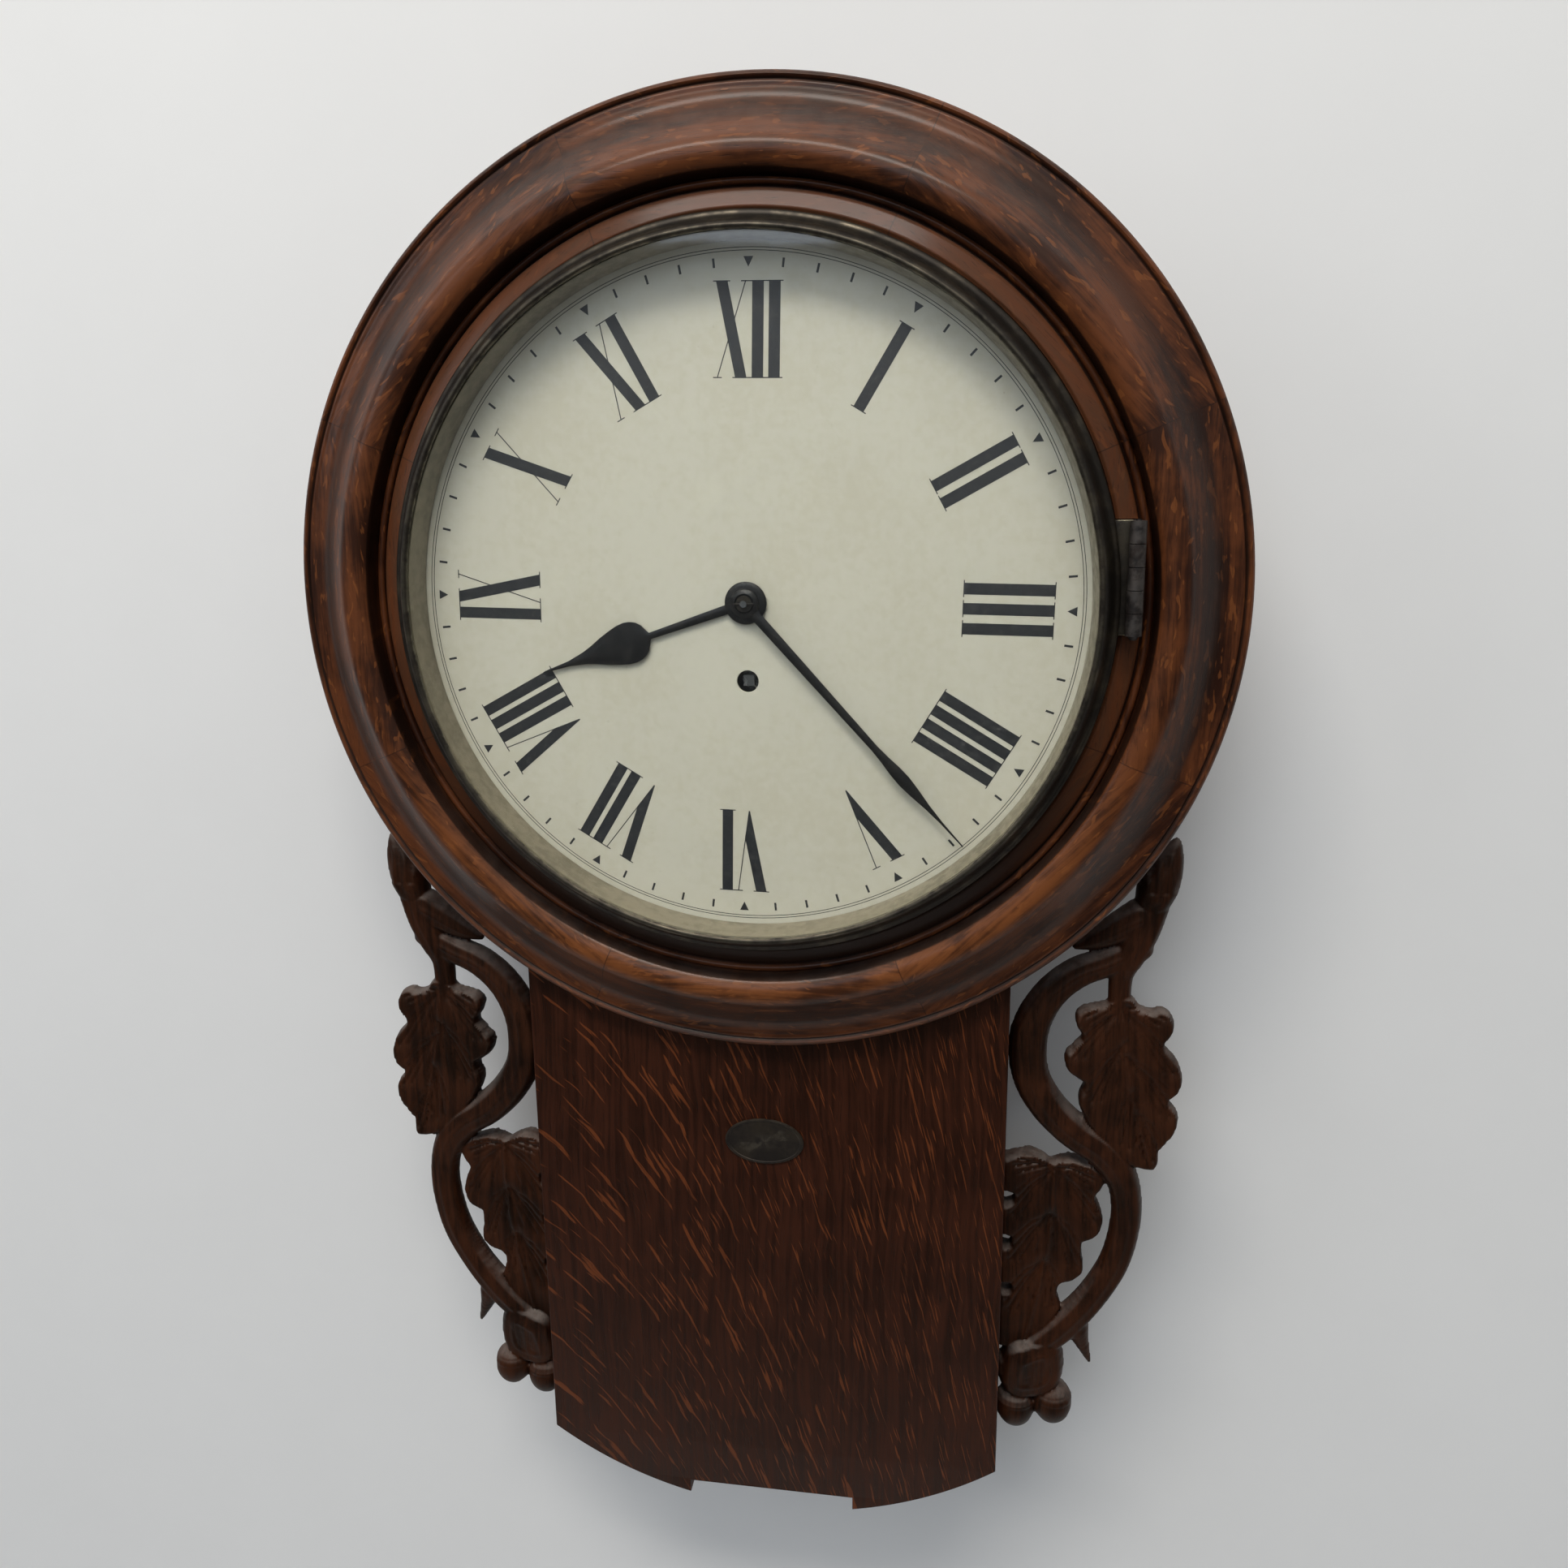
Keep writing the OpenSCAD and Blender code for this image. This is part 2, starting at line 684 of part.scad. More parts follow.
pivot_r = [1.5, 2.5, 1.2, 1, 0.8];
module pivot_holes(near, far, centre_r, barrel_r) {
    bar(centre_at, centre_r + run, near, far);
    bar(barrel_at, barrel_r + run, near, far);
    bar(mid_at, pivot_r[2] + run, near, far);
    bar(third_at, pivot_r[3] + run, near, far);
    bar(escape_at, pivot_r[4] + run, near, far);
    corners() bar([0, 0], pillar_tenon_r + run, near, far);
}

module back_plate() {
    color("goldenrod") difference() {
        slab(back_plate_out, back_plate_front) plate_outline();
        pivot_holes(back_plate_out - 1, back_plate_front + 1, pivot_r[0], pivot_r[1]);
        bar(pallet_at, 6, back_plate_out - 1, back_plate_front + 1);
    }
}

module front_plate() {
    near = front_plate_out - 1;
    far = front_plate_front + 1;
    color("goldenrod") difference() {
        slab(front_plate_out, front_plate_front) plate_outline();
        pivot_holes(near, far, 2, barrel_arbor_r);
        bar(pallet_at, 1 + run, near, far);
        for (x = [-foot_x, foot_x]) for (z = [foot_bottom, foot_top])
            bar([x, z], dial_tenon_r + run, near, far);
        bar(minute_at, stud_r + run, near, far);
        bar(click_at, stud_r + run, near, far);
    }
}
stud_r = 1.5;
click_at = barrel_at + [22, -4.5];

module pillars() {
    mid = back_plate_front + plate_gap / 2;
    color("goldenrod") corners() {
        bar([0, 0], pillar_r, back_plate_front, front_plate_out);
        bar([0, 0], pillar_r + 1.2, back_plate_front + 3, back_plate_front + 5);
        bar([0, 0], pillar_r + 1.2, front_plate_out - 5, front_plate_out - 3);
        bar([0, 0], pillar_r + 1, mid - 2, mid + 2);
        bar([0, 0], pillar_tenon_r, back_plate_out, back_plate_front + 1);
        bar([0, 0], pillar_tenon_r, front_plate_out - 1, front_plate_front + 3.4);
    }
}

module plate_nuts() {
    color("#4a5260") corners() difference() {
        translate([0, -front_plate_front, 0]) rotate([90, 0, 0]) cylinder(r = 4.6, h = 3, $fn = 6);
        bar([0, 0], pillar_tenon_r + run, front_plate_front - 1, front_plate_front + 4);
    }
}

module minute_stud() {
    color("silver") {
        bar(minute_at, stud_r, front_plate_out, hour_level + 3.2);
        bar(minute_at, 3, front_plate_front, motion_level + 0.1);
    }
}

// Going barrel

module barrel() {
    color("goldenrod") difference() {
        union() {
            translate([barrel_at[0], 0, barrel_at[1]]) slab(barrel_level, drum_level)
                polygon(wheel_teeth(barrel_n, barrel_m, barrel_turn));
            bar(barrel_at, drum_r, drum_level - 0.5, drum_level + drum_h);
        }
        bar(barrel_at, drum_r - drum_wall, drum_level - 0.8, drum_level + drum_h + 1);
        bar(barrel_at, barrel_arbor_r + run, barrel_level - 1, drum_level + 1);
    }
}

module barrel_cover() {
    color("goldenrod") difference() {
        union() {
            bar(barrel_at, drum_r, drum_level + drum_h, barrel_front);
            bar(barrel_at, drum_r - drum_wall - run, drum_level + drum_h - 1.2, drum_level + drum_h + 0.5);
        }
        bar(barrel_at, barrel_arbor_r + run, drum_level + drum_h - 2, barrel_front + 1);
    }
}

// The mainspring: one strip wound in a spiral between the hub and the drum's wall
module mainspring() {
    turns = 6;
    steps = 20;
    strip_t = 0.9;
    r0 = barrel_hub_r + 0.3 + strip_t / 2;
    r1 = drum_r - drum_wall - 0.3 - strip_t / 2;
    function coil(side) = [for (i = [0:turns * steps])
        let(a = i * 360 / steps, r = r0 + (r1 - r0) * i / (turns * steps) + side * strip_t / 2)
        [r * cos(a), r * sin(a)]];
    inner = coil(-1);
    outer = coil(1);
    color("#5c6a86") translate([barrel_at[0], 0, barrel_at[1]])
        slab(drum_level + 0.6, drum_level + drum_h - 2)
            polygon(concat(inner, [for (i = [len(outer) - 1:-1:0]) outer[i]]));
}

module barrel_arbor() {
    square_end = dial_out - 3;
    color("silver") {
        bar(barrel_at, pivot_r[1], back_plate_out, back_plate_front + 1);
        bar(barrel_at, barrel_arbor_r, back_plate_front + arbor_gap, front_plate_front + arbor_gap);
        bar(barrel_at, barrel_hub_r, drum_level + 0.6, drum_level + drum_h - 2);
        translate([barrel_at[0], 0, barrel_at[1]]) slab(front_plate_front, square_end)
            strip(-winding_square / 2, winding_square / 2, -winding_square / 2, winding_square / 2);
    }
}

// Ratchet wheel: each tooth rises slowly and drops on a radius
module ratchet_wheel() {
    hole = winding_square / 2 + run;
    points = [for (i = [0:ratchet_n - 1]) for (p = [[ratchet_r - 1.8, 0.08], [ratchet_r, 1]])
        let(a = (i + p[1]) * 360 / ratchet_n) p[0] * [cos(a), sin(a)]];
    color("silver") translate([barrel_at[0], 0, barrel_at[1]])
        slab(ratchet_level, ratchet_level + ratchet_t) difference() {
            polygon(points);
            strip(-hole, hole, -hole, hole);
        }
}

click_nose = barrel_at + (ratchet_r + 1.2) * [cos(45), sin(45)];
// The click on its screw, its nose just clear of the ratchet's teeth
module click() {
    u = (click_nose - click_at) / norm(click_nose - click_at);
    n = [-u[1], u[0]];
    color("silver") {
        slab(ratchet_level, ratchet_level + ratchet_t) difference() {
            union() {
                translate(click_at) circle(r = 3.6);
                polygon([click_at + 3.4 * n, click_nose + 0.6 * n, click_nose, click_nose - 1.8 * n,
                    click_at - 3.4 * n]);
            }
            translate(click_at) circle(r = stud_r + run);
        }
        bar(click_at, stud_r, front_plate_out, ratchet_level + ratchet_t + 0.5);
        bar(click_at, 3, ratchet_level + ratchet_t + 0.2, ratchet_level + ratchet_t + 1.6);
    }
}

module click_spring() {
    u = (click_nose - click_at) / norm(click_nose - click_at);
    n = [u[1], -u[0]];
    tip = (click_at + click_nose) / 2 + 3.3 * n;
    foot = tip + 9 * n + 9 * u;
    w = (tip - foot) / norm(tip - foot);
    v = 0.4 * [-w[1], w[0]];
    color("#5c6a86") {
        slab(front_plate_front, ratchet_level + ratchet_t) translate(foot) circle(r = 2.6);
        slab(ratchet_level, ratchet_level + ratchet_t) polygon([foot + v, tip + v, tip - v, foot - v]);
    }
}

// Train

module intermediate_arbor() {
    color("silver") {
        bar(mid_at, pivot_r[2], back_plate_out, front_plate_front);
        bar(mid_at, 1.8, back_plate_front + arbor_gap, front_plate_out - arbor_gap);
        pinion(mid_at, barrel_level - 1, drum_level + 1, mid_pinion_n, barrel_m, mid_pinion_turn);
        bar(mid_at, 3.4, mid_level + wheel_t, mid_level + wheel_t + 2);
    }
}
module intermediate_wheel() {
    color("goldenrod") crossed_wheel(mid_at, mid_level, mid_n, mid_m, mid_turn, 4.6, 1.8 + run);
}

module centre_arbor() {
    color("silver") difference() {
        union() {
            bar(centre_at, pivot_r[0], back_plate_out, minute_hand_out + hand_t + 3);
            bar(centre_at, 2.2, back_plate_front + arbor_gap, front_plate_out - arbor_gap);
            bar(centre_at, 2, front_plate_out - 1, front_plate_front + arbor_gap);
            pinion(centre_at, mid_level - 1.2, centre_level - 1, centre_pinion_n, mid_m, centre_pinion_turn);
            bar(centre_at, 4.2, centre_level - 1, centre_level);
        }
        translate([-3, -minute_hand_out - hand_t - 1.9, 0]) rotate([0, 90, 0])
            cylinder(r = 0.4 + run, h = 6);
    }
}
module centre_wheel() {
    color("goldenrod") crossed_wheel(centre_at, centre_level, centre_n, centre_m, centre_turn, 5, 2.2 + run);
}

module third_arbor() {
    color("silver") {
        bar(third_at, pivot_r[3], back_plate_out, front_plate_front);
        bar(third_at, 1.2, back_plate_front + arbor_gap, front_plate_out - arbor_gap);
        pinion(third_at, centre_level - 1.5, centre_level + wheel_t + 1,
            third_pinion_n, centre_m, third_pinion_turn);
        bar(third_at, 3, third_level + wheel_t, third_level + wheel_t + 2);
    }
}
module third_wheel() {
    color("goldenrod") crossed_wheel(third_at, third_level, third_n, third_m, third_turn, 4.2, 1.2 + run);
}

module escape_arbor() {
    color("silver") {
        bar(escape_at, pivot_r[4], back_plate_out, front_plate_front);
        bar(escape_at, 1.1, back_plate_front + arbor_gap, front_plate_out - arbor_gap);
        pinion(escape_at, third_level - 1.5, third_level + wheel_t + 1,
            escape_pinion_n, third_m, escape_pinion_turn);
        bar(escape_at, 2.6, escape_level + wheel_t, escape_level + wheel_t + 2);
    }
}

// Escape wheel: pointed teeth that lean forwards
module escape_wheel() {
    points = [for (i = [0:escape_n - 1])
        for (p = [[escape_r - 3.2, 0.12], [escape_r - 3.2, 0.72], [escape_r, 1], [escape_r - 0.2, 1.06]])
        let(a = -(i + p[1]) * 360 / escape_n) p[0] * [cos(a), sin(a)]];
    color("goldenrod") translate([escape_at[0], 0, escape_at[1]])
        slab(escape_level, escape_level + wheel_t) difference() {
            polygon(points);
            for (i = [0:4]) rotate(i * 72) polygon(window(3.8, escape_r - 5, 5, 1.6));
            circle(r = 1.1 + run);
        }
}

// Motion work

module cannon_pinion() {
    color("silver") difference() {
        union() {
            pinion(centre_at, motion_level, motion_level + 2.4, cannon_n, motion_m, cannon_turn);
            bar(centre_at, cannon_r, motion_level + 2, minute_hand_out - 0.3);
            bar(centre_at, cannon_r - 0.5, minute_hand_out - 1, minute_hand_out + hand_t + 0.1);
        }
        bar(centre_at, centre_front_r + run, motion_level - 1, minute_hand_out + 3);
    }
}

module minute_wheel() {
    color("goldenrod") difference() {
        union() {
            crossed_wheel(minute_at, motion_level + 0.3, minute_n, motion_m, minute_turn, 5, 1);
            pinion(minute_at, motion_level + 0.4, hour_level + 2.6, minute_pinion_n, motion_m, minute_turn);
        }
        bar(minute_at, stud_r + run, motion_level - 1, hour_level + 4);
    }
}

module hour_wheel() {
    color("goldenrod") difference() {
        union() {
            crossed_wheel(centre_at, hour_level, hour_n, motion_m, hour_turn, 5.5, 3);
            bar(centre_at, hour_pipe_r, hour_level - 0.5, hour_hand_out - 0.2);
            bar(centre_at, hour_pipe_r - 0.4, hour_hand_out - 1, hour_hand_out + hand_t + 0.1);
        }
        bar(centre_at, cannon_r + run, hour_level - 2, hour_hand_out + 3);
    }
}

// Escapement and pendulum

module pallet_arbor() {
    color("silver") {
        bar(pallet_at, 1, cock_out, front_plate_front);
        bar(pallet_at, 1.5, cock_out + cock_t + arbor_gap, front_plate_out - arbor_gap);
    }
}
cock_out = pendulum_out + 12;
cock_t = 3;

// The recoil anchor, drawn about the pallet arbor with the escape wheel below it
module pallets() {
    nib = escape_r + 1.5;
    tip = [nib * sin(45), nib * cos(45) - pallet_rise];
    arm = [[-1, 4], [6, 4.5], [tip[0] + 2.2, tip[1] + 10], [tip[0] + 3, tip[1] - 0.6], tip,
        [tip[0] - 0.4, tip[1] + 5.5], [6.5, 0.5], [3, -3], [-1, -4]];
    color("silver") translate([pallet_at[0], 0, pallet_at[1]])
        slab(escape_level - 0.3, escape_level + wheel_t + 0.3) difference() {
            union() {
                polygon(arm);
                mirror([1, 0]) polygon(arm);
            }
            circle(r = 1.5 + run);
        }
}

module crutch() {
    level = cock_out + cock_t + 3.5;
    fork_z = -28;
    prong = 2.2;
    color("silver") difference() {
        union() {
            bar(pallet_at, 4, level - 2, level + 2);
            translate([0, -level, fork_z + 1]) cylinder(r = 1.2, h = flex_z - fork_z - 1);
            translate([-rod_r - 0.3 - prong, -level - 1.2, fork_z])
                cube([2 * (rod_r + 0.3 + prong), 2.4, 3]);
            for (x = [-rod_r - 0.3 - prong, rod_r + 0.3])
                translate([x, -level, fork_z]) cube([prong, level - pendulum_out + 4, 3]);
        }
        bar(pallet_at, 1.5 + run, level - 3, level + 3);
    }
}

// The cock on the back plate: it carries the rear pallet pivot and the suspension
module back_cock() {
    cock_w = 24;
    leg_w = 8;
    color("goldenrod") difference() {
        union() {
            slab(cock_out, cock_out + cock_t) strip(-cock_w, cock_w, flex_z - 9, flex_z + 12);
            for (x = [-cock_w, cock_w - leg_w])
                slab(cock_out + cock_t - 0.5, back_plate_out) strip(x, x + leg_w, flex_z - 9, flex_z + 12);
            slab(pendulum_out - 5, cock_out + 0.5) strip(-5, 5, flex_z + 2.5, flex_z + 12);
        }
        slab(pendulum_out - 6, cock_out - 2) strip(-0.7, 0.7, flex_z + 2, flex_z + 9);
        bar(pallet_at, 1 + run, cock_out - 1, cock_out + cock_t + 1);
    }
}

module suspension() {
    color("#5c6a86") translate([-0.15, -pendulum_out - 3, flex_z - 7]) cube([0.3, 6, 15]);
    color("goldenrod") difference() {
        translate([-3.5, -pendulum_out - 3.5, rod_top]) cube([7, 7, 6]);
        translate([-0.2, -pendulum_out - 3.1, rod_top + 5]) cube([0.4, 6.2, 2]);
    }
}

module pendulum_rod() {
    color("#8b5a2b") translate([0, -pendulum_out, nut_z - rod_end])
        cylinder(r = rod_r, h = rod_top - nut_z + rod_end);
}

// The lens-shaped bob with a short neck at its foot that rests on the rating nut
module bob() {
    lens_r = bob_r + 1.5;
    face_r = (lens_r * lens_r + bob_t * bob_t / 4) / bob_t;
    color("goldenrod") difference() {
        union() {
            translate([0, -pendulum_out, bob_z]) intersection() {
                translate([0, face_r - bob_t / 2, 0]) sphere(r = face_r, $fn = 180);
                translate([0, bob_t / 2 - face_r, 0]) sphere(r = face_r, $fn = 180);
                rotate([90, 0, 0]) cylinder(r = bob_r, h = bob_t, center = true);
            }
            translate([0, -pendulum_out, bob_z - bob_r - bob_foot]) cylinder(r = 4.5, h = bob_foot + 6);
        }
        translate([0, -pendulum_out, bob_z - bob_r - 10]) cylinder(r = rod_r + run, h = 2 * bob_r + 20);
    }
}

module rating_nut() {
    color("goldenrod") translate([0, -pendulum_out, nut_z]) difference() {
        union() {
            cylinder(r = nut_r, h = nut_h - 2);
            translate([0, 0, nut_h - 2.5]) cylinder(r = 4, h = 2.3);
        }
        translate([0, 0, -1]) cylinder(r = rod_r + run, h = nut_h + 2);
        for (a = [0:30:330]) rotate(a) translate([nut_r + 0.3, 0, -1]) cylinder(r = 1, h = nut_h - 0.5);
    }
}

// Bottom door

module bottom_door() {
    color("saddlebrown") translate([-door_w / 2, -rebate_out + 1.5, door_z])
        cube([door_w, rebate_out - 1.5 - board_t - 1.6, door_t]);
}

// One half of the bottom door's hinge, with its knuckles from first on
module door_knuckles(first) {
    l = door_hinge_l / knuckles;
    for (i = [first:2:knuckles - 1])
        translate([-door_hinge_l / 2 + i * l + 0.15, -door_hinge_out, door_hinge_z]) rotate([0, 90, 0])
            cylinder(r = door_hinge_r, h = l - 0.3);
}
module door_webs(first, y0, z0, y1, z1) {
    l = door_hinge_l / knuckles;
    for (i = [first:2:knuckles - 1])
        translate([-door_hinge_l / 2 + i * l + 0.15, y0, z0]) cube([l - 0.3, y1 - y0, z1 - z0]);
}
module door_bore(r) {
    translate([-door_hinge_l / 2 - 1, -door_hinge_out, door_hinge_z]) rotate([0, 90, 0])
        cylinder(r = r, h = door_hinge_l + 2);
}

// The fixed half is screwed to the backboard and holds the pin
module bottom_hinge_fixed() {
    leaf = 1.2;
    color("#3a342e") {
        difference() {
            union() {
                door_knuckles(0);
                door_webs(0, -board_t - leaf, door_hinge_z, -board_t, door_hinge_z + 3);
                translate([-door_hinge_l / 2, -board_t - leaf, door_hinge_z + door_hinge_r + 0.3])
                    cube([door_hinge_l, leaf, 7]);
            }
            door_bore(door_pin_r);
        }
        door_bore(door_pin_r - 0.001);
    }
}

module bottom_hinge_moving() {
    leaf = 1.2;
    color("#3a342e") difference() {
        union() {
            door_knuckles(1);
            door_webs(1, -door_hinge_out - door_hinge_r - 1, door_z - leaf, -door_hinge_out, door_z);
            translate([-door_hinge_l / 2, -door_hinge_out - door_hinge_r - 14, door_z - leaf])
                cube([door_hinge_l, 13.7, leaf]);
        }
        door_bore(door_pin_r + run);
    }
}

// Ears

// A round carved stem through points of [x, z, radius]
module stem(points) {
    for (i = [0:len(points) - 2]) hull() for (p = [points[i], points[i + 1]])
        translate([p[0], 0, p[1]]) sphere(r = p[2], $fn = 12);
}

// Points of a stem with one more between each two, so that it bends evenly
function bend(p) = concat([for (i = [0:len(p) - 2]) each [p[i], (9 * (p[i] + p[i + 1])
    - p[max(i - 1, 0)] - p[min(i + 2, len(p) - 1)]) / 16]], [p[len(p) - 1]]);

// An oak leaf with an eased edge and a raised midrib
module oak_leaf(outline, rib) {
    slab(-leaf_t / 2, leaf_t / 2 - 1.6) polygon(outline);
    slab(0, leaf_t / 2) offset(delta = -1.2) polygon(outline);
    translate([0, -leaf_t / 2 + 2.2, 0]) stem(rib);
}

module acorn(x, z) {
    translate([x, 0, z]) {
        scale([1, 1, 1.15]) sphere(r = acorn_r, $fn = 20);
        translate([0, 0, acorn_r * 0.35])
            cylinder(r1 = acorn_r * 1.06, r2 = acorn_r * 0.75, h = acorn_r * 0.7, $fn = 20);
        translate([0, 0, -acorn_r * 1.15 - 1.2]) cylinder(r1 = 0.8, r2 = 2.4, h = 3, $fn = 12);
    }
}

bud = [[198.5, -116, 2.2], [197, -121, 5], [194.5, -128, 8], [191.5, -137, 10], [189.5, -144, 9]];
branch = [[189, -149, 8], [185, -161, 8.5], [180, -173, 8], [176, -185, 6], [176, -203, 5.5]];
spur = [[183, -154, 9], [172, -161, 7.5], [162, -167, 5], [154, -170.5, 2]];
scroll = [[184, -170, 7], [169, -178, 7.5], [154, -185, 8], [141, -198, 8.5], [133, -217, 9.5],
    [134, -239, 9.5], [143, -256, 9.5], [156, -269, 9.5], [169.5, -278, 9.2], [179, -289, 8.8],
    [184, -303, 8], [184.5, -321, 7.8], [180, -343, 7.8], [169.5, -364, 7.8], [156, -382, 8.2],
    [142, -396, 8], [128, -409, 8]];
thorn = [[162, -381, 7], [165, -390, 4.5], [170, -403, 1.2]];
upper_leaf = [[171, -198], [165, -200], [160, -201.5], [156, -204], [155, -208], [156, -212.5],
    [158.5, -217], [155, -222], [151.5, -226], [150.5, -230.5], [152, -235.5], [156, -239],
    [160.5, -242], [159, -247], [158, -252], [160, -258], [165, -265], [172, -272], [180, -280],
    [186, -285], [191, -287], [196, -287.5], [199, -284], [199, -277], [202.5, -271.5],
    [206, -266], [207.5, -259], [206, -254], [202.5, -249.5], [206, -245], [208.3, -239],
    [207, -232], [204, -226], [198.5, -219.5], [201.5, -214.5], [202.8, -209], [201, -203.5],
    [197, -201], [191, -201.5], [186, -200], [181, -195]];
upper_rib = [[177, -200, 3.5], [182, -230, 4], [188, -258, 3.5], [195, -283, 2.2]];
lower_leaf = [[122, -289], [127, -285], [133, -283], [139, -283.5], [143.5, -285.5], [147, -287.5],
    [151, -285.5], [157, -285], [164, -287], [169, -290], [172.5, -294], [172.5, -300],
    [169.5, -305.5], [172, -312], [173.5, -319], [172, -326], [168, -330], [163.5, -333],
    [164.3, -342], [164.5, -350], [160, -354.5], [154, -357.5], [152, -363], [153.5, -371],
    [146, -383], [136, -392], [122, -396], [122, -366], [127, -364.5], [127.5, -360],
    [122, -357.5], [122, -340], [126.5, -337], [126.5, -332], [122, -329], [122, -315],
    [127, -312], [127.5, -307], [122, -304]];
lower_rib = [[148, -290, 3.5], [147, -325, 4.5], [142, -360, 3.5], [136, -390, 2]];
stalk = [[135, -402, 11], [133, -417, 9.5], [147, -414, 8.5], [147, -398, 9], [135, -402, 11]];

// The points above were taken on a trunk of this half width and drop to its lower corners
drawn_half_w = 122.5;
drawn_drop = 464.5;
module ear(drop) {
    difference() {
        translate([half_w - drawn_half_w, -ear_out, drawn_drop - corner_drop - drop]) {
            stem(bud);
            stem(branch);
            stem(spur);
            stem(bend(scroll));
            stem(thorn);
            oak_leaf(upper_leaf, upper_rib);
            translate([0, 2, 0]) oak_leaf(lower_leaf, lower_rib);
            stem(stalk);
            acorn(132.3, -433.5);
            acorn(151.7, -429.5);
        }
        // The flat face that is glued to the side of the box
        translate([inner_w, -trunk_out, -corner_drop - drop]) cube([board_t, trunk_out, corner_drop + drop]);
    }
}
module ear_right() {
    color("#2c160d") ear(0);
}
module ear_left() {
    color("#2c160d") mirror([1, 0, 0]) ear(ear_left_drop);
}

backboard();
side_left();
side_right();
case_top();
bottom_boards();
trunk_front();
surround();
battens();
pegs();
ear_left();
ear_right();
hanging_plate();
number_plate();
dial();
dial_feet();
dial_screws();
hinge_leaf_fixed();
hinge_pin();
front_plate();
back_plate();
pillars();
plate_nuts();
click();
click_spring();
back_cock();
minute_stud();
bottom_hinge_fixed();
bezel();
glass();
sight_ring();
hinge_leaf_moving();
bottom_door();
bottom_hinge_moving();
barrel();
barrel_cover();
mainspring();
barrel_arbor();
ratchet_wheel();
intermediate_arbor();
intermediate_wheel();
centre_arbor();
centre_wheel();
cannon_pinion();
minute_hand();
hand_collet();
hour_wheel();
hour_hand();
minute_wheel();
third_arbor();
third_wheel();
escape_arbor();
escape_wheel();
pallet_arbor();
pallets();
crutch();
suspension();
pendulum_rod();
bob();
rating_nut();
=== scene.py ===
"""Looks of a drop dial wall clock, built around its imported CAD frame.

Sizes are in millimetres until a mesh is made. The origin is on the wall behind the centre of the
dial, x runs to the right and z up. A size called out is a distance from the wall towards the
viewer, so a point 120 mm out has y = -0.120 m.
"""

import enum
import json
import logging
import math
from contextlib import contextmanager
from dataclasses import dataclass, replace
from typing import Callable, Iterable, Iterator, Sequence

import bmesh
import bpy
import numpy as np
from bpy.types import Material, Mesh, Node, NodeSocket, NodeTree, Object
from mathutils import Matrix, Vector


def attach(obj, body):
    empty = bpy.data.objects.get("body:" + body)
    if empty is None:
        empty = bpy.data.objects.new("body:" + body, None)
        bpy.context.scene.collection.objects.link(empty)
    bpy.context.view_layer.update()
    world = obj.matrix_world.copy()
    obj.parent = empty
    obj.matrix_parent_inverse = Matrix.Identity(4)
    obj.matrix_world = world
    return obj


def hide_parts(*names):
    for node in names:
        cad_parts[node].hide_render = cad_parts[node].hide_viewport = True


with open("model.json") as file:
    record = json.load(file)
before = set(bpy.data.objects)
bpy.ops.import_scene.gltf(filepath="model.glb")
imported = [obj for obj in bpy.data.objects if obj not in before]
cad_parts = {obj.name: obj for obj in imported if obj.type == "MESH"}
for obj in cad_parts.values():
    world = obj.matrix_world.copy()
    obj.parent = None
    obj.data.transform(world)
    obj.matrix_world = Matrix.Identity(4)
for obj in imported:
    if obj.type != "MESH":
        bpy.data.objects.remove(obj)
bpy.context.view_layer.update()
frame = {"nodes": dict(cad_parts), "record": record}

log = logging.getLogger("drop_dial_clock")
MM = 0.001
CREASE = 35.0
Flat = tuple[float, float]
Point = tuple[float, float, float]
Colour = tuple[float, float, float, float]
Line = Sequence[Flat]
Array = np.ndarray


def paint(red: int, green: int, blue: int) -> Colour:
    """Turns a screen colour into the linear colour that shaders use.

    Args:
        red: Red, 0 to 255.
        green: Green, 0 to 255.
        blue: Blue, 0 to 255.

    Returns:
        The linear colour with full alpha.
    """
    linear = [((c / 255 + 0.055) / 1.055) ** 2.4 if c > 10 else c / 255 / 12.92 for c in (red, green, blue)]
    return (linear[0], linear[1], linear[2], 1.0)


# Meshes


def link(name: str, data: bpy.types.ID) -> Object:
    """Makes an object of some data and links it to the scene."""
    made = bpy.data.objects.new(name, data)
    bpy.context.scene.collection.objects.link(made)
    return made


@contextmanager
def opened(mesh: Mesh) -> Iterator[bmesh.types.BMesh]:
    """Opens a mesh for changes and writes them back."""
    work = bmesh.new()
    work.from_mesh(mesh)
    yield work
    work.to_mesh(mesh)
    work.free()


def worked_out(source: Object) -> Mesh:
    """The mesh that an object has once its curve or its modifiers are worked out."""
    bpy.context.view_layer.update()
    return bpy.data.meshes.new_from_object(source.evaluated_get(bpy.context.evaluated_depsgraph_get()))


def new_mesh(name: str, verts: Iterable, faces: Iterable) -> Mesh:
    """Makes a mesh from points in millimetres and lists of point numbers."""
    mesh = bpy.data.meshes.new(name)
    mesh.from_pydata([tuple(float(c) * MM for c in v) for v in verts], [], [list(map(int, f)) for f in faces])
    return mesh


def place(name: str, mesh: Mesh, material: Material, crease: float) -> Object:
    """Links a finished mesh as an object with one material and smooth shading up to a crease angle."""
    mesh.materials.clear()
    mesh.materials.append(material)
    mesh.polygons.foreach_set("use_smooth", [True] * len(mesh.polygons))
    mesh.set_sharp_from_angle(angle=math.radians(crease))
    return link(name, mesh)


